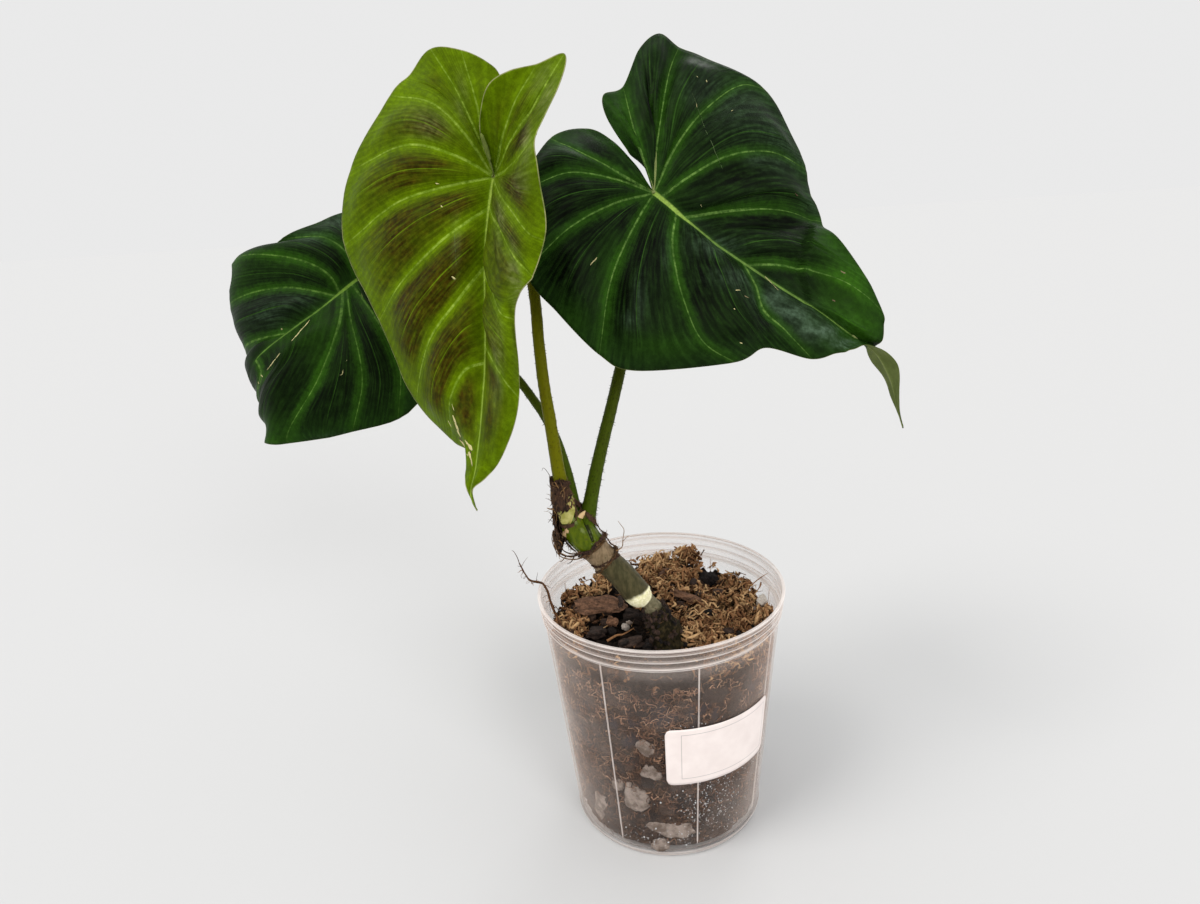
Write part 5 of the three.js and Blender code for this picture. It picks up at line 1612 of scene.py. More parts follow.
def torn_sheet(start, end, low, high, off, seed):
    """A grid of points round the stalks, with ragged sides and ends."""
    grid = np.zeros((SHEET_ROWS, SHEET_COLUMNS, 3))
    for r in range(SHEET_ROWS):
        share = r / (SHEET_ROWS - 1)
        here, along, left, front, radius = sheath_frame(lerp(start, end, share))
        tear_low = 7 * math.sin(r * 0.76 + seed) + 4 * math.sin(r * 1.95 + seed * 2)
        tear_high = 8 * math.sin(r * 0.63 + seed * 3) + 5 * math.sin(r * 2.3 + seed)
        narrow = 1 - 0.55 * (2 * share - 1) ** 6
        for c in range(SHEET_COLUMNS):
            across = c / (SHEET_COLUMNS - 1)
            angle = math.radians(lerp(low + tear_low, high + tear_high, 0.5 + (across - 0.5) * narrow))
            out = left * math.cos(angle) + front * math.sin(angle)
            end_tear = 1.2 * math.sin(c * 1.1 + seed) + 0.9 * math.sin(c * 2.7 + seed * 2)
            slip = end_tear * (max(0, share - 0.72) - max(0, 0.2 - share)) * 3
            grid[r, c] = here + along * slip + out * (radius + off)
    return grid


def make_sheath():
    heap = Heap()
    rng = random.Random(31)
    for start, end, low, high, off, seed, tone in SHEATH_SHEETS:
        grid = torn_sheet(start, end, low, high, off, seed)
        crumple = 0.45 * noise(grid, 3.2, seed + 20) + 0.36 * noise(grid, 1.2, seed + 40)
        edge = np.abs(np.linspace(-1, 1, SHEET_COLUMNS))[None] ** 3
        run, cross = np.gradient(grid, axis=0), np.gradient(grid, axis=1)
        grid = grid + unit(np.cross(cross, run)) * (crumple + edge * rng.uniform(0.2, 0.6))[..., None]
        sheet(heap, grid, SHEET_THICKNESS, tone=tone)
    for seed, (line, wide, off, hug, tone) in enumerate(SHREDS):
        shred(heap, rng, line, wide, off, hug, tone, seed * 10)
    for _ in range(SHEATH_FIBRES):
        place = rng.uniform(1.1, 4.8)
        here, along, left, front, radius = sheath_frame(place)
        angle = math.radians(rng.uniform(-110, 40 if place < 3.4 else 150))
        out = left * math.cos(angle) + front * math.sin(angle)
        root = here + out * (radius + rng.uniform(0.2, 0.9))
        length = rng.uniform(1.5, 5)
        lean = along * rng.choice([-1, 1]) * rng.uniform(0.6, 1.2)
        lean = unit(lean + out * rng.uniform(-0.1, 0.2) + cross_noise(rng, 0.6))
        points = []
        for t in (0, 0.33, 0.66, 1):
            wave = out * 0.5 * math.sin(t * 3 + place)
            points.append(root + lean * length * t + wave + cross_noise(rng, 0.35))
        fibre(heap, points, rng.uniform(0.1, 0.3), steps=3, tone=rng.uniform(0, 0.75))
    for pixels_of, thick, tone in SHEATH_HAIRS:
        root, _ = on_limb(*pixels_of[0])
        line = [shown_at(x, y, root[1] - HAIR_OFF) for x, y in pixels_of]
        fibre(heap, line, thick, 6, tone=tone)
    for x, y, xx, yy, wide, tone in SHEATH_CHIPS:
        (a, up), (b, _) = on_limb(x, y), on_limb(xx, yy)
        chip(heap, a + up * CHIP_OFF, b + up * CHIP_OFF, wide, CHIP_THICKNESS, up, tone=tone)
    return heap.object("sheath_shreds")


def chip(heap, a, b, wide, thick, facing, **attributes):
    """A rough flat splinter from a to b."""
    steps, columns = 9, 5
    along = unit(b - a)
    facing = np.asarray(facing, float)
    up = unit(facing - along * facing.dot(along))
    side = np.cross(along, up)
    grid = np.zeros((steps, columns, 3))
    for r in range(steps):
        t = r / (steps - 1)
        half = wide / 2 * math.sin(math.pi * lerp(0.12, 0.9, t)) ** 0.5
        for c in range(columns):
            across = c / (columns - 1) * 2 - 1
            grid[r, c] = lerp(a, b, t) + side * half * across - up * 0.25 * wide * across**2 * 0.4
    grid += (0.12 * wide * noise(grid, wide * 0.6, 3))[..., None] * up
    sheet(heap, grid, thick, **attributes)


def sheath_material():
    g = Graph("dry_sheath")
    tone = g.attribute("tone")
    fine = g.noise(0.9, 4, 0.65, g.place((1, 1, 0.25)))
    mottle = g.noise(3, 3)
    colour = g.blend(fine, 0.3, 0.7, (20, 12, 8), (78, 53, 37))
    worn = g.times(g.step(tone, 0.1, 0.7), g.step(mottle, 0.3, 0.7, 0.3, 1))
    colour = g.mix(worn, colour, linear(176, 134, 84))
    colour = g.mix(g.step(tone, 0.7, 0.84), colour, linear(220, 186, 138))
    patch = g.blend(mottle, 0.35, 0.65, (146, 146, 62), (182, 178, 106))
    colour = g.mix(g.step(tone, 0.9, 1.0, 0, 0.92), colour, patch)
    normal = g.bump(fine, 0.25, 0.8)
    g.set(base_color=colour, roughness=0.85, normal=normal, specular_ior_level=0.25)
    return g.material


dry = sheath_material()
finish(make_sheath(), dry, "dried_sheath", "dried_sheath")


# Pot

POT_SEGMENTS = 144
DRAIN_SIDES = 24
RIB_BOTTOM = 6.5
RIB_LEVELS = 40
# How strongly the ribs are painted with a white highlight
RIB_HIGHLIGHT = 0.56
RIB_SUNK = 0.25


def wall_radius(z):
    return lerp(FOOT_RADIUS, BAND_BOTTOM_RADIUS, np.asarray(z, float) / BAND_BOTTOM)


def band_radius(z):
    share = (z - BAND_BOTTOM) / (POT_HEIGHT - LIP_HEIGHT - BAND_BOTTOM)
    return lerp(BAND_BOTTOM_RADIUS + BAND_STEP, LIP_RADIUS - BAND_STEP, share)


def pot_profile():
    """[radius, z, painted ridge highlight] from the foot's middle up the outside and down the inside to the
    floor's middle.
    """
    foot = FOOT_RADIUS
    profile = [[0.01, 0.9, 0], [14, 0.9, 0], [15, 0.2, 0.3], [foot - 3, 0.2, 0], [foot - 1.6, 0, 0.4]]
    profile += [[foot - 0.5, 0.5, 0.6], [foot, 1.3, 0.6], [foot + 0.2, 2.2, 0.3]]
    for t in np.linspace(0, 1, 6):
        profile.append([wall_radius(3 + t) + FOOT_BEAD * (1 - t) ** 0.7, 3 + t, 0.7 * (1 - t)])
    for z in np.linspace(5, BAND_BOTTOM - 0.8, 30):
        profile.append([wall_radius(z), z, 0])
    band = BAND_BOTTOM
    profile.append([wall_radius(band - 0.3), band - 0.3, 0.5])
    profile.append([band_radius(band) - 0.2, band + 0.1, 1])
    profile.append([band_radius(band + 0.5), band + 0.5, 0.3])
    for ring in range(RING_COUNT):
        start = band + BAND_STEP + 0.2 + ring * RING_SPACING
        for t in np.linspace(0, 1, 7):
            z = start + RING_HEIGHT * t
            bulge = math.sin(math.pi * t) ** 0.8
            profile.append([band_radius(z) + RING_PROUD * bulge, z, max(0, bulge - 0.25)])
        for z in (start + RING_HEIGHT + 0.25, start + RING_SPACING - 0.2):
            profile.append([band_radius(z), z, 0.05])
    top, lip = POT_HEIGHT, LIP_RADIUS
    profile += [[lip - 0.3, top - 1.1, 0.5], [lip, top - 0.75, 0.6], [lip, top - 0.3, 0.7]]
    profile += [[lip - 0.15, top - 0.07, 0.8], [lip - 0.45, top, 0.7], [lip - 1.3, top, 0.6]]
    profile += [[lip - 1.55, top - 0.1, 0.6], [lip - 1.65, top - 0.35, 0.4]]
    for z in np.linspace(top - 1.2, BAND_BOTTOM + 1.2, 14):
        swell = 0.25 * math.cos((z - BAND_BOTTOM - 1.4) / RING_SPACING * 2 * math.pi)
        profile.append([band_radius(z) - WALL + min(swell, 0.1), z, max(0, swell * 3 - 0.2)])
    profile.append([wall_radius(BAND_BOTTOM) - WALL, BAND_BOTTOM, 0.8])
    for z in np.linspace(BAND_BOTTOM - 1, 5, 20):
        profile.append([wall_radius(z) - WALL, z, 0])
    profile.append([wall_radius(3) - WALL - 0.6, 2.6, 0])
    profile += [[foot - 3.4, FLOOR_THICKNESS, 0], [0.01, FLOOR_THICKNESS, 0]]
    return np.array(profile, float)


def lathe(profile, segments, shift=None):
    """A closed body turned about Z. shift may move its rings' points."""
    angles = circle(segments)
    x = profile[:, 0, None] * np.sin(angles)
    y = -profile[:, 0, None] * np.cos(angles)
    grid = np.stack([x, y, np.repeat(profile[:, 1, None], segments, 1)], -1)
    if shift:
        grid = shift(grid)
    return grid.reshape(-1, 3), ring_faces(len(profile), segments)


def make_pot():
    profile = pot_profile()
    points, faces = lathe(profile, POT_SEGMENTS)
    # ridge: how much painted highlight each ring of the profile gets
    body = mesh_object("pot_wall", points, faces, {"ridge": np.repeat(profile[:, 2], POT_SEGMENTS)})
    drains = Heap()
    for i in range(DRAIN_COUNT):
        turn = (i + 0.5) * 2 * math.pi / DRAIN_COUNT
        x, y = DRAIN_CIRCLE * math.sin(turn), -DRAIN_CIRCLE * math.cos(turn)
        angles = circle(DRAIN_SIDES)
        edge = np.stack([x + DRAIN_RADIUS * np.cos(angles), y + DRAIN_RADIUS * np.sin(angles)], 1)
        drains.add([(a, b, z) for z in (-2, 4) for a, b in edge], ring_faces(2, DRAIN_SIDES))
    cutter = drains.object("drains", False)
    cut = body.modifiers.new("drains", "BOOLEAN")
    cut.object = cutter
    cut.operation = "DIFFERENCE"
    cut.solver = "EXACT"
    solid = bpy.data.meshes.new_from_object(body.evaluated_get(bpy.context.evaluated_depsgraph_get()))
    body.modifiers.clear()
    body.data = solid
    bpy.data.objects.remove(cutter)
    return body


def make_ribs():
    """Slim upright ribs, each a low rounded bead on the wall."""
    heap = Heap()
    across = np.linspace(-1, 1, 7)
    levels = np.linspace(RIB_BOTTOM, BAND_BOTTOM - 0.2, RIB_LEVELS)
    for i in range(RIB_COUNT):
        turn = math.radians(RIB_TURN + i * 360 / RIB_COUNT)
        rings = []
        for z in levels:
            fade = min(1, (z - RIB_BOTTOM) / 1.5 + 0.15)
            arc = [(RIB_HALF * a * fade, RIB_PROUD * fade * (1 - a * a) ** 0.7) for a in across]
            base = [(RIB_HALF * fade, -RIB_SUNK), (-RIB_HALF * fade, -RIB_SUNK)]
            for side, proud in arc + base:
                radius = wall_radius(z) + proud
                angle = turn + side / wall_radius(z)
                rings.append([radius * math.sin(angle), -radius * math.cos(angle), z])
        heap.add(rings, ring_faces(len(levels), len(across) + 2), ridge=RIB_HIGHLIGHT)
    return heap.object("pot_ribs")


def pot_material():
    """Clear plastic gone milky: thin where it is looked through square on, painted white along its ridges as
    highlights.
    """
    g = Graph("pot_clear_plastic")
    ridge = g.attribute("ridge")
    weight = g.tree.nodes.new("ShaderNodeLayerWeight")
    weight.inputs["Blend"].default_value = 0.5
    facing = weight.outputs["Facing"]
    haze = g.noise(26, 3)
    streak = g.noise(7, 3, 0.6, g.place((1, 1, 0.12)))
    dots = g.step(g.cells(2.6), 0.05, 0.16, 1, 0)
    at = g.tree.nodes.new("ShaderNodeSeparateXYZ")
    g.put(at.inputs[0], g.place())
    height = at.outputs["Z"]
    low = g.step(height, 15, 60, 1, 0)
    foggy = g.times(low, g.step(at.outputs["X"], -20, 40), g.step(g.noise(9, 3), 0.4, 0.6))
    alpha = g.step(haze, 0.3, 0.7, 0.0, 0.014)
    # The haze is the plastic's own; it grows milkier toward the top as painted light, where the wall is lit
    # more strongly.
    alpha = g.add(alpha, g.step(height, 55, 112, 0, 0.035))
    alpha = g.add(alpha, g.step(height, 104, 110, 0, 0.06))
    alpha = g.add(alpha, g.times(g.step(streak, 0.45, 0.75, 0, 0.012), g.step(height, 105, 111, 1, 0)))
    alpha = g.add(alpha, g.times(g.math("POWER", facing, 3.0), 0.5))
    # Painted highlight: white and more opaque along the rings, lips and ribs.
    ridge_highlight = g.math("POWER", ridge, 1.5)
    alpha = g.add(alpha, g.times(ridge_highlight, g.step(g.noise(16, 1), 0.3, 0.7, 0.7, 0.95)))
    alpha = g.add(alpha, g.times(dots, foggy, 0.4))
    alpha = g.math("MINIMUM", alpha, 0.92)
    colour = g.blend(haze, 0.3, 0.7, (222, 198, 184), (240, 224, 214))
    colour = g.mix(ridge_highlight, colour, linear(252, 249, 247))
    normal = g.bump(g.add(g.noise(6, 1), g.times(dots, foggy, 2)), 0.1, 0.22)
    g.set(base_color=colour, alpha=alpha, roughness=0.16, normal=normal, ior=1.49, specular_ior_level=0.1)
    return g.material


plastic = pot_material()
finish(make_pot(), plastic, "pot_clear", "pot")
finish(make_ribs(), plastic, "pot_clear")


def on_wall(x, y, inset):
    """The point inset mm in from the outside of the front wall that a pixel shows."""
    for depth in np.arange(-62, -2, 0.1):
        p = shown_at(x, y, depth)
        if math.hypot(p[0], p[1]) < wall_radius(p[2]) - inset:
            return p
    return p


# Where the wall is wet inside: pixel, half width, half height
DROPLET_SPOTS = [
    (720, 790, 26, 30), (735, 760, 20, 20), (700, 815, 30, 18), (690, 745, 18, 18), (640, 840, 60, 10),
]
DROPLET_COUNT = 720
DROPLET_SIDES = 6
DROPLET_SIZE = (0.1, 0.28)
BIG_DROPLETS = 0.08
WET_HEIGHTS = (6, 108)


def make_droplets():
    rng = random.Random(5)
    heap = Heap()
    for _ in range(DROPLET_COUNT):
        x, y, wide, high = rng.choice(DROPLET_SPOTS)
        p = on_wall(rng.gauss(x, wide * 0.6), rng.gauss(y, high * 0.6), 0)
        if not WET_HEIGHTS[0] < p[2] < WET_HEIGHTS[1]:
            continue
        out = unit(np.array([p[0], p[1], -3]))
        reach = wall_radius(p[2]) - WALL
        p = np.array([p[0], p[1], 0]) / math.hypot(p[0], p[1]) * reach + np.array([0, 0, p[2]])
        size = rng.uniform(*DROPLET_SIZE) * (1.8 if rng.random() < BIG_DROPLETS else 1)
        side = unit(np.cross(out, [0, 0, 1]))
        up = np.cross(side, out)
        rings = []
        for deep, reach in ((0.05, 1), (-0.25, 0.9), (-0.5, 0.5)):
            for a in circle(DROPLET_SIDES):
                sideways = side * math.cos(a) + up * math.sin(a) * 1.15
                rings.append(p + out * deep * size + sideways * reach * size)
        heap.add(rings, ring_faces(3, DROPLET_SIDES)[:, ::-1])
    return heap.object("condensation")


def water_material():
    g = Graph("condensed_water")
    g.set(base_color=linear(236, 238, 240), alpha=0.75, roughness=0.1, ior=1.33, specular_ior_level=0.8)
    return g.material


finish(make_droplets(), water_material(), "pot_clear")


# Label

LABEL_OFF = 0.42
LABEL_THICKNESS = 0.16
LABEL_COLUMNS = 70
LABEL_ROWS = 24
LABEL_LINE = 0.16
# The thin frame line: its left, right, low and high edge as shares of the label's drawn size
LABEL_FRAME = (0.125, 0.955, 0.11, 0.9)
LABEL_DRAWN_RADIUS = 51.5


def make_label():
    angles = LABEL_MIDDLE + np.linspace(-LABEL_HALF, LABEL_HALF, LABEL_COLUMNS)
    width = 2 * LABEL_HALF * wall_radius((LABEL_BOTTOM + LABEL_TOP) / 2)
    along = np.linspace(0, width, LABEL_COLUMNS)
    from_end = np.minimum(along, width - along)
    into_corner = np.maximum(LABEL_CORNER - from_end, 0)
    cut_back = LABEL_CORNER - np.sqrt(np.maximum(LABEL_CORNER**2 - into_corner**2, 0))
    share = np.linspace(0, 1, LABEL_ROWS)[:, None]
    z = lerp(LABEL_BOTTOM + cut_back, LABEL_TOP - cut_back, share)
    flat = np.stack([np.broadcast_to(along, z.shape), z, z * 0], -1)
    lifted = LABEL_OFF + 0.12 * noise(flat, 15, 4)
    z = z + LABEL_TILT * (1 - along / width)
    radius = wall_radius(z) + lifted
    grid = np.stack([radius * np.sin(angles), -radius * np.cos(angles), z], -1)
    heap = Heap()
    across, up = np.broadcast_to(along / width, z.shape), np.broadcast_to(share, z.shape)
    sheet(heap, grid, LABEL_THICKNESS, lx=across, lz=up)
    return heap.object("label_sheet")


def label_material():
    g = Graph("label_paper")
    lx, lz = g.attribute("lx"), g.attribute("lz")
    width = 2 * LABEL_HALF * LABEL_DRAWN_RADIUS
    height = LABEL_TOP - LABEL_BOTTOM
    line = LABEL_LINE
    left, right = LABEL_FRAME[0] * width, LABEL_FRAME[1] * width
    low, high = LABEL_FRAME[2] * height, LABEL_FRAME[3] * height
    x, z = g.times(lx, width), g.times(lz, height)

    def near(value, at):
        return g.step(g.math("ABSOLUTE", g.less(value, at)), line * 0.6, line * 1.2, 1, 0)

    def between(value, start, end):
        return g.times(g.step(value, start - line, start), g.step(value, end, end + line, 1, 0))

    upright = g.times(g.most(near(x, left), near(x, right)), between(z, low, high))
    level = g.times(g.most(near(z, low), near(z, high)), between(x, left, right))
    frame_line = g.most(upright, level)
    paper = g.blend(g.noise(9, 3), 0.3, 0.7, (238, 225, 220), (246, 234, 229))
    colour = g.mix(g.times(frame_line, 0.55), paper, linear(120, 116, 114))
    g.set(base_color=colour, roughness=0.55, normal=g.bump(g.noise(0.5, 2), 0.03, 0.4))
    return g.material


finish(make_label(), label_material(), "label", "label")


# Mix
CORE_GAP = 1.3
CORE_CLEAR = 0.5
CORE_SEGMENTS = 180
CORE_BELOW = 3.4
CURL_STEPS = 9
PRESSED_STEPS = 6
PRESSED_GAP = 0.3
MOSS_TOP_DRAWS = 9000
MOSS_TOP_SHARE = 0.26
FLAKE_COUNT = 350
TWIG_COUNT = 90
WALL_CHUNK_COUNT = 110
LOOSE_CHUNK_COUNT = 80
STUB_CHUNK_COUNT = 150
# Chunks behind the wall keep this far under the mix's top, in mm
UNDER_TOP = 3
# Loose bits keep within these distances of the pot's axis
LOOSE_REACH = 50
TWIG_REACH = 51
FLAKE_REACH = 52
TWIG_LIMIT = 53


def level(x, y):
    """The height of the mix's top."""
    broad = np.sin(x * 0.31 + 1.3) * np.cos(y * 0.27 - 0.4)
    middle = 0.7 * np.sin(x * 0.62 - y * 0.51 + 2.1)
    fine = 0.5 * np.cos(x * 0.93 + y * 1.07)
    return MIX_LEVEL + MIX_BACK_RISE * y + MIX_LUMP * (broad + middle + fine) / 2


def inner_radius(z):
    """The pot's inside wall."""
    return wall_radius(z) - WALL


def kept_inside(points, gap):
    """Draws points that pass the pot's inside wall, less a gap, in to it."""
    radius = np.linalg.norm(points[..., :2], axis=-1)
    limit = inner_radius(points[..., 2]) - gap
    points[..., :2] *= np.minimum(1, limit / np.maximum(radius, 1e-6))[..., None]


def make_core():
    """The crumbly body of the mix: brown against the wall, near black on top as painted shade in the gaps
    between the strands and chunks.
    """
    rows = [[0.01, 2.0], [FOOT_RADIUS - 9, 2.0], [FOOT_RADIUS - 5, 3.0]]
    rows += [[inner_radius(z) - CORE_GAP, z] for z in np.linspace(5, 96, 64)]
    rows += [[(inner_radius(98) - CORE_GAP) * share, 99] for share in np.linspace(1, 0.01, 38)]
    profile = np.array(rows)
    tops = []

    def shift(grid):
        top = ramp(88, 99, grid[..., 2])
        tops.append(top.ravel())
        raised = level(grid[..., 0], grid[..., 1]) - CORE_BELOW
        grid[..., 2] = lerp(grid[..., 2], raised - (99 - grid[..., 2]) * 0.4, top)
        bumps = 1.3 * noise(grid, 6, 11) + 0.9 * noise(grid, 2.6, 12) + 0.5 * noise(grid, 1.2, 13)
        pushed = np.minimum(bumps, CORE_GAP - CORE_CLEAR) * (1 - top) * ramp(3, 6, grid[..., 2])
        grid = grid + unit(grid * [1, 1, 0]) * pushed[..., None]
        grid[..., 2] += 1.7 * bumps * top
        return grid

    points, faces = lathe(profile, CORE_SEGMENTS, shift)
    return mesh_object("mix_core", points, faces, {"top": tops[0]})


def ribbons(heap, lines, flats, widths, thickness, **attributes):
    """Closed flattened strands along lines (count x steps x 3), flat across each line's own facing."""
    count, steps = lines.shape[:2]
    run = unit(np.gradient(lines, axis=1))
    side = unit(np.cross(run, flats[:, None]))
    up = np.cross(side, run)
    taper = np.sin(math.pi * np.linspace(0.12, 0.9, steps)) ** 0.6
    half = (widths[:, None] / 2 * taper)[..., None]
    thick = (thickness[:, None] / 2 * taper)[..., None]
    rings = np.stack([lines + side * half, lines + up * thick, lines - side * half, lines - up * thick], 2)
    points = rings.reshape(count, -1, 3)
    faces = ring_faces(steps, 4)[:, ::-1]
    stride = steps * 4
    every = faces[None] + (np.arange(count) * stride)[:, None, None]
    doubled = {key: np.repeat(value, stride) for key, value in attributes.items()}
    heap.add(points.reshape(-1, 3), every.reshape(-1, 3), **doubled)


def curly(draw, starts, directions, flats, lengths, curl, steps=CURL_STEPS):
    """Centre lines that wander and curl about a direction."""
    count = len(starts)
    t = np.linspace(0, 1, steps)[None, :, None]
    side = unit(np.cross(directions, flats))
    turns = draw.uniform(0.5, 2.1, (count, 1, 1)) * 2 * math.pi
    phase = draw.uniform(0, FULL_TURN, (count, 1, 1))
    swing = (lengths * curl)[:, None, None]
    lines = starts[:, None] + directions[:, None] * (lengths[:, None, None] * (t - 0.5))
    lines = lines + side[:, None] * np.sin(turns * t + phase) * swing
    return lines + flats[:, None] * np.cos(turns * t * 1.2 + phase * 1.7) * swing * 0.6


def moss_share(x, y):
    """How much of the top is tan moss: all of the right and back, little in the dark front left."""
    right = ramp(-8, 14, x + 0.35 * y)
    left = ramp(-34, -44, x) * 0.7
    return np.clip(0.06 + right + left, 0, 1)


def clear_of_cane(points, extra):
    """Whether points stand clear of the cane's foot."""
    route = np.array(STEM[:10])
    places = np.linspace(0, len(route) - 1, 60)
    middles, radii = smooth_along(route[:, :3], places), smooth_along(route[:, 3], places)
    apart = np.linalg.norm(points[:, None] - middles[None], axis=2) - radii[None]
    return apart.min(1) > extra


# Pixels where a chunk lies bare on top: middle, half width, half height
BARE_SPOTS = [
    (613, 637, 24, 8), (630, 618, 14, 9), (600, 604, 26, 9), (709, 577, 10, 8),
    (762, 600, 8, 7), (626, 627, 8, 6), (612, 622, 7, 6), (688, 597, 15, 4),
]


def off_chunks(points):
    """Whether points leave the bare chunks in sight."""
    px, py = pixels(points).T
    apart = [((px - x) / wide) ** 2 + ((py - y) / high) ** 2 for x, y, wide, high in BARE_SPOTS]
    return np.min(apart, axis=0) > 1


def in_the_clear(lines, extra):
    """Whether strands keep off the cane and the bare chunks."""
    return clear_of_cane(lines.mean(1), extra) & np.all([off_chunks(lines[:, k]) for k in (1, 3, 5)], axis=0)


def spot_on_top(draws, widest):
    """A random place within widest mm of the pot's axis: x, y, and how far out it is."""
    angle, reach = draws.uniform(0, FULL_TURN), widest * math.sqrt(draws.uniform(0, 1))
    return reach * math.cos(angle), reach * math.sin(angle), reach


def make_moss_top():
    draw = np.random.default_rng(41)
    heap = Heap()
    count = MOSS_TOP_DRAWS
    angle = draw.uniform(0, FULL_TURN, count)
    reach = 53.0 * np.sqrt(draw.uniform(0, 1, count))
    x, y = reach * np.cos(angle), reach * np.sin(angle)
    keep = draw.uniform(0, 1, count) < moss_share(x, y) * MOSS_TOP_SHARE
    x, y = x[keep], y[keep]
    count = len(x)
    lift = draw.uniform(-1.5, 3.2, count) + 2.4 * noise(np.stack([x, y, x * 0], 1), 9, 6)
    starts = np.stack([x, y, level(x, y) + lift], 1)
    around = draw.uniform(0, FULL_TURN, count)
    directions = unit(np.stack([np.cos(around), np.sin(around), draw.uniform(-0.7, 0.9, count)], 1))
    flats = unit(draw.normal(0, 0.5, (count, 3)) + [0, 0, 0.8])
    lengths = draw.uniform(3, 9, count)
    lines = curly(draw, starts, directions, flats, lengths, 0.2)
    kept_inside(lines, 1.0)
    keep = in_the_clear(lines, 0.2)
    tone = np.clip(draw.normal(0.36, 0.24, count) + 0.34 * ramp(0, 3.5, lift), 0, 1)
    widths = draw.uniform(0.4, 1.7, count)
    thickness = draw.uniform(0.15, 0.4, count)
    ribbons(heap, lines[keep], flats[keep], widths[keep], thickness[keep], tone=tone[keep])
    return heap.object("moss_top")


def make_moss_wall(name, seed, count, inward, widths, light):
    """Strands pressed flat against the inside of the wall, inward mm from it."""
    draw = np.random.default_rng(seed)
    heap = Heap()
    z = 5 + 95 * draw.uniform(0, 1, count) ** 0.75
    angle = draw.uniform(0, FULL_TURN, count)
    patch = noise(np.stack([angle * 50, z, z * 0], 1), 16, 9) * 0.5 + 0.5
    keep = draw.uniform(0, 1, count) < 0.3 + 0.7 * ramp(0.2, 0.6, patch) * ramp(0, 45, z)
    z, angle = z[keep], angle[keep]
    count = len(z)
    out = np.stack([np.sin(angle), -np.cos(angle), 0 * angle], 1)
    reach = inner_radius(z) - draw.uniform(*inward, count)
    starts = out * reach[:, None] + np.stack([0 * z, 0 * z, z], 1)
    around = draw.uniform(0, FULL_TURN, count)
    side = np.cross(out, [0, 0, 1])
    directions = side * np.cos(around)[:, None] + np.array([0, 0, 1]) * np.sin(around)[:, None]
    lines = curly(draw, starts, directions, out, draw.uniform(2, 9, count), 0.24, PRESSED_STEPS)
    radius = np.linalg.norm(lines[..., :2], axis=2)
    bound = inner_radius(lines[..., 2])
    fixed = np.clip(radius, bound - 3.2, bound - 0.4)
    lines[..., :2] *= (fixed / radius)[..., None]
    lines[..., 2] = np.clip(lines[..., 2], 3.2, 104)
    paler = 0.2 * ramp(40, 100, z) - 0.1 * ramp(40, 8, z)
    tone = np.clip(draw.normal(light, 0.19, count) + paler, 0, 1)
    ribbons(heap, lines, out, draw.uniform(*widths, count), draw.uniform(0.15, 0.35, count), tone=tone)
    return heap.object(name)


def lump(heap, centre, size, turn, seed, rough=0.16, detail=1, boxy=0.72, pressed=False, **attributes):
    """A broken rounded chunk: a faceted ball stretched to size, turned by three angles."""
    rings, sides = int(9 * detail), int(12 * detail)
    polar = np.linspace(0.12, math.pi - 0.12, rings)[:, None]
    around = circle(sides)[None]
    x, y = np.sin(polar) * np.cos(around), np.sin(polar) * np.sin(around)
    ball = np.stack([x, y, np.cos(polar) + 0 * around], -1).reshape(-1, 3)
    body = ball / np.maximum(np.abs(ball).max(1, keepdims=True), boxy)
    swell = 1 + rough * noise(ball + seed, 0.55, seed) + rough * 0.6 * noise(ball + seed, 0.27, seed + 1)
    tip_over = Matrix.Rotation(turn[1], 3, "Y") @ Matrix.Rotation(turn[0], 3, "X")
    matrix = np.array(Matrix.Rotation(turn[2], 3, "Z") @ tip_over)
    points = (body * swell[:, None] * np.asarray(size) / 2) @ matrix.T + centre
    if pressed:
        kept_inside(points, PRESSED_GAP)
    faces = ring_faces(rings, sides)[:, ::-1]
    heap.add(points, faces, **attributes)


def resting(x, y, above):
    """The point above mm over the mix's top that a pixel shows."""
    z = MIX_LEVEL
    for _ in range(12):
        p = shown_on_level(x, y, z + above)
        z = float(level(p[0], p[1]))
    return shown_on_level(x, y, z + above)


# Chunks on top: pixel, height over the mix, size, three turns, tone 0 dark bark to 1 pale
TOP_CHUNKS = [
    (600, 605, 4.3, (22, 10.5, 2.2), (0.34, 0.1, 0.2), 0.5),
    (584, 612, 1.0, (13, 8, 3.5), (0.1, 0.35, -0.4), 0.3),
    (709, 578, 5.0, (7.5, 6, 6), (0.3, 0.4, 0.2), 0.03),
    (722, 586, 1.2, (6, 5, 4), (0.9, 0.1, 0.8), 0.08),
    (688, 597, 2.6, (17, 4, 2.4), (0.4, 0.2, -0.5), 0.5),
    (612, 622, 2.6, (5, 4, 4), (0.6, 0.5, 0.2), 0.64),
    (597, 632, 0.8, (12, 6, 4), (0.2, 0.3, 0.9), 0.12),
    (632, 616, 1.0, (9, 7, 4), (0.5, 0.2, 0.1), 0.1),
    (570, 622, 0.5, (10, 7, 4), (0.2, 0.7, 0.5), 0.2),
    (652, 645, 0.0, (8, 6, 4), (0.2, 0.1, 0.4), 0.06),
    (630, 643, 0.2, (11, 6, 3), (0.3, 0.0, 0.2), 0.24),
    (574, 634, 1.6, (7, 5, 3), (0.7, 0.6, 0.1), 0.36),
    (646, 588, 1.6, (9, 6, 4), (0.3, 0.6, 0.2), 0.35),
    (735, 620, 0.2, (9, 7, 5), (0.5, 0.3, 0.7), 0.2),
    (668, 575, 2.2, (10, 6, 3), (0.4, 0.1, 0.3), 0.4),
]
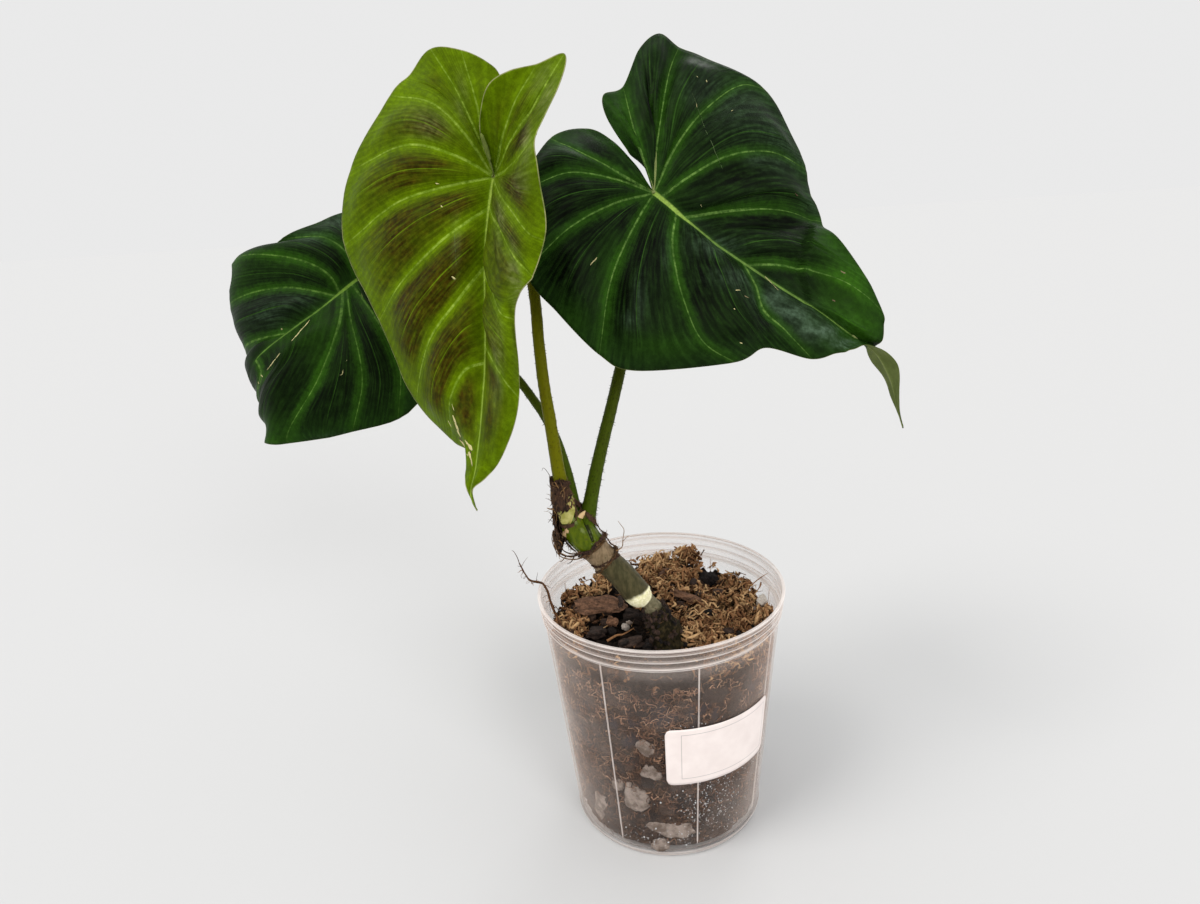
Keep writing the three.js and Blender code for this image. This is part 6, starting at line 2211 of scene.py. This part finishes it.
PALE_BITS = [
    (762, 601, 4.2, (5.5, 4.5, 4.5), (0.3, 0.2, 0.6), 0.98),
    (756, 609, 1.6, (4, 3, 3), (0.7, 0.2, 0.1), 0.9),
    (626, 627, 2.0, (4.2, 2.6, 2.8), (0.1, 0.6, 0.6), 0.92),
    (629, 623, 1.6, (2.6, 2.2, 1.8), (0.5, 0.2, 0.6), 0.9),
    (706, 628, 1.0, (2.2, 2, 2), (0.4, 0.3, 0.6), 0.95),
]
# Stones and bark behind the wall: pixel, size, turn, tone, pale pumice above PALE_TONE
PALE_TONE = 0.55
WALL_CHUNKS = [
    (600, 803, (9, 7, 19), 0.25, 0.8),
    (616, 785, (6.5, 5.5, 6.5), -0.2, 0.85),
    (636, 799, (12.5, 7.5, 16.5), -0.15, 0.85),
    (671, 829, (22, 7, 10.5), 0.35, 0.8),
    (661, 846, (8.5, 5, 8), 0.3, 0.78),
    (651, 773, (10, 5.5, 8), 0.1, 0.7),
    (645, 749, (10, 6, 8), 0.7, 0.75),
    (590, 700, (8, 4, 6), 0.6, 0.3),
    (606, 750, (8, 4, 5), 0.2, 0.35),
    (716, 668, (12, 4, 8), 0.2, 0.12),
    (735, 700, (8, 4, 12), 0.2, 0.16),
    (570, 690, (9, 4, 10), 0.1, 0.18),
]


def behind_wall(z, out, size, sunk):
    """The middle of a chunk pressed to the wall at angle out, kept under the mix's top."""
    reach = inner_radius(z) - PRESSED_GAP - size[1] * sunk
    x, y = reach * math.sin(out), -reach * math.cos(out)
    return np.array([x, y, min(z, float(level(x, y)) - size[2] / 2 - UNDER_TOP)])


def make_chunks():
    """Bark in one mesh, pumice and perlite in another."""
    bark, stones = Heap(), Heap()
    for heap, table, seed, detail, pale in ((bark, TOP_CHUNKS, 50, 2.2, 0), (stones, PALE_BITS, 70, 2, 1)):
        for i, (x, y, above, size, turn, tone) in enumerate(table):
            centre = resting(x, y, above - size[2] * 0.3)
            lump(heap, centre, size, turn, seed + i, 0.3, detail, 0.8, tone=tone, pale=pale)
    for i, (x, y, size, turn, tone) in enumerate(WALL_CHUNKS):
        p = on_wall(x, y, WALL + 0.5)
        out = math.atan2(p[0], -p[1])
        centre = behind_wall(p[2], out, size, 0.4)
        pale = tone > PALE_TONE
        heap = stones if pale else bark
        lump(heap, centre, size, (0, turn, out), 90 + i, 0.2, 2, 0.9, True, tone=tone, pale=float(pale))
    rng = random.Random(61)
    for i in range(WALL_CHUNK_COUNT):
        z, out = rng.uniform(6, 98), rng.uniform(0, FULL_TURN)
        size = rng.uniform(4, 10), rng.uniform(3, 4.5), rng.uniform(4, 10)
        in_front = math.cos(out - 0.1) > 0.3
        pale = not in_front and rng.random() < 0.3 * (1 - z / 120)
        centre = behind_wall(z, out, size, 0.3 if pale else 0.55)
        tone = rng.uniform(0.7, 0.88) if pale else rng.uniform(0.02, 0.35)
        turn = (0, rng.uniform(-1, 1), out)
        heap = stones if pale else bark
        lump(heap, centre, size, turn, 200 + i, 0.18, 1, 0.85, True, tone=tone, pale=float(pale))
    for i in range(LOOSE_CHUNK_COUNT):
        x, y, reach = spot_on_top(rng, LOOSE_REACH)
        size = rng.uniform(3, 9), rng.uniform(2.5, 6), rng.uniform(1.5, 4)
        centre = np.array([x, y, float(level(x, y)) - 1.0 + rng.uniform(-1, 2.6 if reach < 40 else 0.4)])
        if not clear_of_cane(centre[None], max(size) / 2)[0]:
            continue
        turn = [rng.uniform(-0.6, 0.6) for _ in range(2)] + [rng.uniform(0, 6.3)]
        lump(bark, centre, size, turn, 400 + i, 0.24, 0.8, tone=rng.uniform(0.0, 0.34), pale=0)
    for i in range(STUB_CHUNK_COUNT):
        k = rng.randrange(2, int(NECK * CANE_STEPS) - 4)
        side = rng.randrange(CANE_SIDES)
        out = cane_outward[k, side]
        size = rng.uniform(1.2, 3.6), rng.uniform(1, 2.6), rng.uniform(0.6, 1.8)
        centre = cane_middles[k] + out * (cane_radii[k, side] + rng.uniform(-0.2, 0.5))
        turn = [rng.uniform(-1.5, 1.5) for _ in range(3)]
        lump(bark, centre, size, turn, 600 + i, 0.3, 0.67, tone=rng.uniform(0.0, 0.3), pale=0)
    return bark.object("mix_bark", False), stones.object("mix_stones")


# Twigs on top: from pixel, to pixel, thickness and rise in mm
TWIGS = [(741, 592, 768, 573, 0.42, 9), (607, 641, 634, 628, 0.7, 1.5), (688, 604, 712, 596, 0.5, 2)]


def make_twigs():
    heap = Heap()
    rng = random.Random(71)
    for x0, y0, x1, y1, thick, rise in TWIGS:
        a, b = resting(x0, y0, 0.5), resting(x1, y1, rise)
        bend = cross_noise(rng, 0.6)
        fibre(heap, [a, lerp(a, b, 0.3) + bend, lerp(a, b, 0.65) - bend, b], thick, 7, tone=0.5)
    for _ in range(TWIG_COUNT):
        x, y, _ = spot_on_top(rng, TWIG_REACH)
        p = np.array([x, y, float(level(x, y)) + rng.uniform(-0.5, 2)])
        if not clear_of_cane(p[None], 3)[0]:
            continue
        turn = rng.uniform(0, FULL_TURN)
        lean = np.array([math.cos(turn), math.sin(turn), rng.uniform(-0.1, 0.7)]) * rng.uniform(2, 6)
        line = [p - lean * 0.5, p + cross_noise(rng, 0.5), p + lean * 0.5 + cross_noise(rng, 0.5)]
        if max(math.hypot(q[0], q[1]) for q in line) > TWIG_LIMIT:
            continue
        fibre(heap, line, rng.uniform(0.12, 0.32), 5, tone=rng.uniform(0, 0.9))
    return heap.object("twigs")


# Tufts of moss on top: pixel, spread and rise in mm, how light they are
MOSS_TUFTS = [
    (652, 565, 4.5, 5.5, 0.75), (667, 562, 4.5, 6.0, 0.7), (682, 560, 4.0, 6.5, 0.6),
    (691, 559, 3.0, 6.5, 0.55), (646, 576, 4.0, 3.5, 0.8), (660, 581, 5.0, 3.0, 0.9),
    (675, 576, 4.5, 3.0, 0.7), (688, 574, 4.0, 3.0, 0.6), (667, 592, 4.5, 1.5, 0.8),
    (683, 594, 4.5, 2.5, 0.65), (698, 590, 4.0, 2.5, 0.7), (706, 580, 3.0, 3.0, 0.6),
    (725, 583, 4.0, 4.0, 0.45), (735, 586, 4.0, 3.5, 0.4), (699, 604, 4.5, 1.5, 0.75),
    (713, 599, 4.5, 2.0, 0.6), (729, 600, 4.5, 2.0, 0.5), (690, 616, 4.5, 1.0, 0.6),
    (706, 616, 4.5, 1.5, 0.55), (721, 616, 4.5, 1.5, 0.6), (736, 614, 4.5, 1.5, 0.5),
    (751, 603, 4.0, 3.0, 0.85), (759, 616, 4.0, 2.0, 0.6), (767, 612, 3.5, 2.5, 0.5),
    (747, 597, 3.5, 3.5, 0.8), (685, 634, 3.5, 1.5, 0.8), (698, 637, 3.5, 1.5, 0.85),
    (713, 630, 4.0, 1.5, 0.8), (725, 636, 3.5, 1.2, 0.7), (736, 628, 4.0, 1.5, 0.65),
    (705, 640, 3.0, 1.5, 0.75), (680, 643, 2.5, 1.0, 0.7), (569, 619, 3.5, 2.0, 0.5),
    (575, 625, 3.5, 1.5, 0.6), (582, 597, 3.5, 3.0, 0.7), (591, 594, 3.5, 3.5, 0.75),
    (567, 599, 3.0, 4.0, 0.4), (583, 633, 3.0, 1.0, 0.5), (602, 577, 3.0, 4.0, 0.75),
    (604, 588, 3.5, 3.0, 0.7), (566, 627, 3.0, 1.0, 0.8),
]


def make_moss_tufts():
    draw = np.random.default_rng(47)
    heap = Heap()
    for x, y, spread, rise, light in MOSS_TUFTS:
        centre = resting(x, y, rise * 0.3)
        count = int(4.2 * spread + 2.6 * rise)
        around = draw.uniform(0, FULL_TURN, count)
        reach = spread * np.sqrt(draw.uniform(0, 1, count))
        high = draw.uniform(-1, 1, count) * rise * np.sqrt(np.maximum(1.1 - (reach / spread) ** 2, 0))
        starts = centre + np.stack([reach * np.cos(around), reach * np.sin(around), high], 1)
        turn = draw.uniform(0, FULL_TURN, count)
        directions = unit(np.stack([np.cos(turn), np.sin(turn), draw.uniform(-0.9, 1.1, count)], 1))
        flats = unit(draw.normal(0, 0.7, (count, 3)) + [0, -0.3, 0.6])
        lines = curly(draw, starts, directions, flats, draw.uniform(3, 9, count), 0.36)
        kept_inside(lines, 1.2)
        keep = in_the_clear(lines, 0.3)
        tone = np.clip(draw.normal(light + 0.06, 0.22, count) + 0.2 * high / rise, 0, 1)
        widths = draw.uniform(0.6, 2.3, count)
        if not keep.any():
            continue
        thickness = draw.uniform(0.2, 0.5, count)
        ribbons(heap, lines[keep], flats[keep], widths[keep], thickness[keep], tone=tone[keep])
    return heap.object("moss_tufts")


def make_flakes():
    """Crumpled scraps of leaf litter and moss among the strands."""
    draw = np.random.default_rng(49)
    heap = Heap()
    across = np.linspace(-0.5, 0.5, 7)
    for i in range(FLAKE_COUNT):
        x, y, _ = spot_on_top(draw, FLAKE_REACH)
        centre = np.array([x, y, level(x, y) + draw.uniform(-1.2, 2.4)])
        wide, high = draw.uniform(2, 6), draw.uniform(1.5, 4)
        share = moss_share(x, y)
        if draw.uniform() > share + 0.2:
            continue
        if not clear_of_cane(centre[None], wide / 2)[0] or not off_chunks(centre[None])[0]:
            continue
        run = unit(draw.normal(0, 1, 3) * [1, 1, 0.6])
        up = unit(np.cross(run, draw.normal(0, 1, 3)))
        side = np.cross(up, run)
        ragged = 1 + 0.5 * noise(np.stack([across * 9, across * 0 + i, across * 0], 1), 1.3, 3)
        reach = across[None, :] * high * ragged[:, None]
        grid = centre + across[:, None, None] * wide * run + reach[..., None] * side
        bent = 0.9 * noise(grid, 1.9, i) + 0.5 * noise(grid, 0.9, i + 1)
        grid = grid + bent[..., None] * up
        kept_inside(grid, 1.2)
        sheet(heap, grid, 0.2, tone=float(np.clip(draw.normal(0.1 + 0.5 * share, 0.24), 0, 1)))
    return heap.object("moss_flakes")


def moss_material(name, dark, brown, tan, light):
    g = Graph(name)
    tone = g.attribute("tone")
    fine = g.noise(1.2, 3, 0.6)
    patch = g.noise(12, 2)
    at = g.add(tone, g.times(g.less(fine, 0.5), 0.6))
    colour = g.mix(g.step(at, 0.05, 0.35), linear(*dark), linear(*brown))
    colour = g.mix(g.step(at, 0.3, 0.62), colour, linear(*tan))
    colour = g.mix(g.step(at, 0.62, 0.95), colour, linear(*light))
    colour = g.mix(g.step(patch, 0.6, 0.75, 0, 0.25), colour, linear(112, 98, 58))
    g.set(base_color=colour, roughness=0.9, normal=g.bump(fine, 0.15, 0.7), specular_ior_level=0.15)
    return g.material


def chunk_material():
    g = Graph("bark_and_pumice")
    tone, pale = g.attribute("tone"), g.attribute("pale")
    fine = g.noise(0.9, 4, 0.65)
    grain = g.noise(1.6, 4, 0.6, g.place((0.4, 1, 1)))
    bark = g.blend(tone, 0, 0.25, (22, 17, 15), (60, 45, 37))
    bark = g.mix(g.step(tone, 0.25, 0.65), bark, linear(120, 86, 64))
    bark = g.tint(bark, g.times(g.step(grain, 0.25, 0.75, 0.4, 1.5), g.step(fine, 0.3, 0.7, 0.6, 1.3)))
    stone = g.blend(g.noise(4, 3), 0.35, 0.65, (102, 88, 78), (156, 142, 132))
    stone = g.mix(g.step(tone, 0.9, 0.95, 0, 0.8), stone, linear(214, 206, 196))
    pits = g.step(g.cells(1.5), 0.12, 0.3, 0.4, 0)
    stone = g.mix(pits, stone, linear(110, 92, 78))
    colour = g.mix(pale, bark, stone)
    normal = g.bump(g.add(fine, grain), 0.4, 0.8)
    g.set(base_color=colour, roughness=0.88, normal=normal, specular_ior_level=0.25)
    return g.material


def core_material():
    g = Graph("mix_shaded_gaps")
    top = g.attribute("top")
    height = g.tree.nodes.new("ShaderNodeSeparateXYZ")
    g.put(height.inputs[0], g.place())
    up = g.step(height.outputs["Z"], 30, 85)
    fine = g.noise(1.0, 5, 0.7)
    strands = g.noise(2.4, 4, 0.7, g.place((0.6, 0.6, 1)), 1.5)
    patch = g.noise(9, 3)
    colour = g.blend(fine, 0.34, 0.64, (11, 7, 5), (56, 38, 27))
    stranded = g.times(g.step(strands, 0.5, 0.66), g.step(up, 0, 1, 0.45, 0.85))
    colour = g.mix(stranded, colour, linear(116, 84, 62))
    sooty = g.step(patch, 0.48, 0.64, 0, 0.85)
    colour = g.mix(sooty, colour, g.mix(up, linear(26, 24, 25), linear(40, 38, 46)))
    colour = g.mix(g.step(patch, 0.42, 0.3, 0, 0.3), colour, linear(104, 76, 58))
    # Painted shade: near black on top, where the mix shows only in the gaps between strands and chunks.
    colour = g.mix(top, colour, g.blend(fine, 0.4, 0.6, (7, 5, 4), (34, 23, 16)))
    g.set(base_color=colour, roughness=0.95, normal=g.bump(fine, 0.5, 0.9), specular_ior_level=0.15)
    return g.material


DRY_MOSS = ((34, 21, 13), (98, 66, 42), (152, 110, 74), (200, 162, 116))
PRESSED_MOSS = ((22, 14, 10), (80, 52, 38), (136, 98, 74), (206, 164, 132))
# Strands against the wall: name, seed, count, distance in from the wall, width in mm, how light
WALL_STRANDS = [
    ("moss_wall", 43, 1800, (0.6, 1.8), (0.4, 1.2), 0.2),
    ("moss_wall_fine", 44, 2300, (0.45, 0.9), (0.16, 0.46), 0.4),
    ("moss_wall_wisps", 45, 2000, (0.45, 0.9), (0.13, 0.4), 0.56),
]

moss = moss_material("dry_moss", *DRY_MOSS)
wall_moss = moss_material("pressed_moss", *PRESSED_MOSS)
finish(make_core(), core_material(), "potting_mix", "potting_mix")
finish(make_moss_top(), moss, "potting_mix")
finish(make_moss_tufts(), moss, "potting_mix")
finish(make_flakes(), moss, "potting_mix")
for strands in WALL_STRANDS:
    finish(make_moss_wall(*strands), wall_moss, "potting_mix")
stone_and_bark = chunk_material()
for piece in make_chunks():
    finish(piece, stone_and_bark, "potting_mix")
finish(make_twigs(), moss, "potting_mix")


# Root over the rim and hairs by the cane
ROOT_SIDES = 12
ROOT_STEPS = 12
ROOT_TIP = ([0, 0, 0], [-0.8, 0.6, 3.0], [-2.2, 1.6, 5.5], [-3.2, 2.2, 6.2])
ROOTLET_COUNT = 34
ROOTLET_LIMIT = 72
CANE_DEPTH = -20
# Rootlets round the cane: place along it, spread, count
CANE_ROOTLETS = ((LOWER_SCAR + 0.1, 0.35, 50), (UPPER_SCAR + 0.1, 0.4, 70), (2.4, 1.2, 45))
# Threads by pixel and depth from the cane's middle, with thickness in mm
CANE_THREADS = [
    (((616, 551, -3), (622, 547, 0), (623, 538, 1), (624, 530, 2), (621, 525, 2), (618, 521, 3)), 0.26),
    (((623, 541, 1), (627, 537, 2), (629, 536, 3)), 0.14),
]


def make_roots():
    heap = Heap()
    rng = random.Random(81)
    route = np.array(ROOT_OVER_RIM)
    here, _, outward, radii, _ = tube(route, ROOT_SIDES, ROOT_STEPS)
    flat = here[:, None] + outward * radii[:, None, None]
    full = radii[:, None] * (0.66 + 0.2 * noise(flat, 1.6, 3))
    heap.add(tube_points(here, outward, full), ring_faces(len(here), ROOT_SIDES), tone=0.24)
    tip = route[-1, :3]
    fibre(heap, [tip + step for step in ROOT_TIP], 0.3, tone=0.2)
    for _ in range(ROOTLET_COUNT):
        i = rng.randrange(4, len(here) - 2)
        root = here[i]
        lean = unit(cross_noise(rng, 1) + np.array([-0.2, -0.3, 0.2])) * rng.uniform(1.5, 6)
        near, far = lean * 0.4 + cross_noise(rng, 0.3), lean * 0.75 + cross_noise(rng, 0.5)
        line = [root, root + near, root + far, root + lean]
        if max(math.hypot(q[0], q[1]) for q in line) > ROOTLET_LIMIT:
            continue
        fibre(heap, line, rng.uniform(0.1, 0.26), tone=rng.uniform(0.1, 0.7))
    return heap.object("hanging_root")


def make_cane_hairs():
    """Rootlets and dry threads at the two node scars and the stub."""
    heap = Heap()
    rng = random.Random(91)
    for centre, spread, count in CANE_ROOTLETS:
        for _ in range(count):
            i = int(np.clip((centre + rng.gauss(0, spread * 0.6)) * CANE_STEPS, 1, len(cane_middles) - 2))
            k = rng.randrange(CANE_SIDES)
            out = cane_outward[i, k]
            root = cane_middles[i] + out * (cane_radii[i, k] - 0.1)
            about = np.cross(out, unit(cane_middles[i + 1] - cane_middles[i - 1]))
            run = about * rng.choice([-1, 1]) * rng.uniform(0.6, 3.0) + cross_noise(rng, 0.8)
            lifted = rng.uniform(0.2, 0.9)
            end = root + run + out * rng.uniform(-0.1, 1.4)
            line = [root, root + run * 0.35 + out * lifted, root + run * 0.7 + out * lifted * 0.8, end]
            fibre(heap, line, rng.uniform(0.1, 0.28), tone=rng.uniform(0, 0.4))
    for points, thick in CANE_THREADS:
        line = [shown_at(x, y, CANE_DEPTH + depth) for x, y, depth in points]
        fibre(heap, line, thick, 5, 8, tone=0.55)
    return heap.object("cane_hairs")


finish(make_roots(), moss, "root", "root_over_rim")
finish(make_cane_hairs(), dry, "stem")


# Stage: pale floor, soft light and the camera of the photograph

SUN_WIDTH = 0.45
WORLD_LIGHT = 0.82
FLOOR_HALF = 3000
SENSOR_WIDTH = 36
# Each soft light: name, where it comes from, strength, colour
SUNS = [
    ("key", (-0.9, -0.5, 1.5), 1.25, (1, 0.985, 0.96)),
    ("fill", (0.7, -1.2, 0.7), 1.0, (0.98, 0.99, 1)),
    ("back", (0.5, 1.3, 1.1), 0.35, (1, 1, 1)),
]


def make_floor():
    size = FLOOR_HALF
    points = [[-size, -size, 0], [size, -size, 0], [size, size, 0], [-size, size, 0]]
    floor = mesh_object("floor", points, [[0, 1, 2, 3]])
    g = Graph("floor_pale")
    g.set(base_color=linear(205, 205, 205), roughness=1, specular_ior_level=0)
    floor.data.materials.append(g.material)


def soft_sun(name, source, strength, colour):
    """A wide soft light from a direction."""
    data = bpy.data.lights.new(name, "SUN")
    data.energy = strength
    data.angle = SUN_WIDTH
    data.color = colour
    lamp = bpy.data.objects.new(name, data)
    bpy.context.collection.objects.link(lamp)
    lamp.rotation_euler = (-Vector(source)).to_track_quat("-Z", "Y").to_euler()


def make_camera():
    data = bpy.data.cameras.new("camera")
    data.sensor_fit = "HORIZONTAL"
    data.sensor_width = SENSOR_WIDTH
    data.lens = SENSOR_WIDTH * FOCAL_PIXELS / PHOTO_WIDTH
    data.clip_start = 0.01
    camera = bpy.data.objects.new("camera", data)
    bpy.context.collection.objects.link(camera)
    turn = Matrix([[RIGHT[i], UP[i], -AHEAD[i]] for i in range(3)]).to_4x4()
    camera.matrix_world = Matrix.Translation(CAMERA_AT * MM) @ turn
    bpy.context.scene.camera = camera


def make_world():
    world = bpy.data.worlds.new("room")
    world.use_nodes = True
    background = world.node_tree.nodes["Background"]
    background.inputs["Color"].default_value = (1, 1, 1, 1)
    background.inputs["Strength"].default_value = WORLD_LIGHT
    bpy.context.scene.world = world


make_floor()
for sun in SUNS:
    soft_sun(*sun)
make_world()
bpy.context.scene.view_settings.view_transform = "Standard"
make_camera()
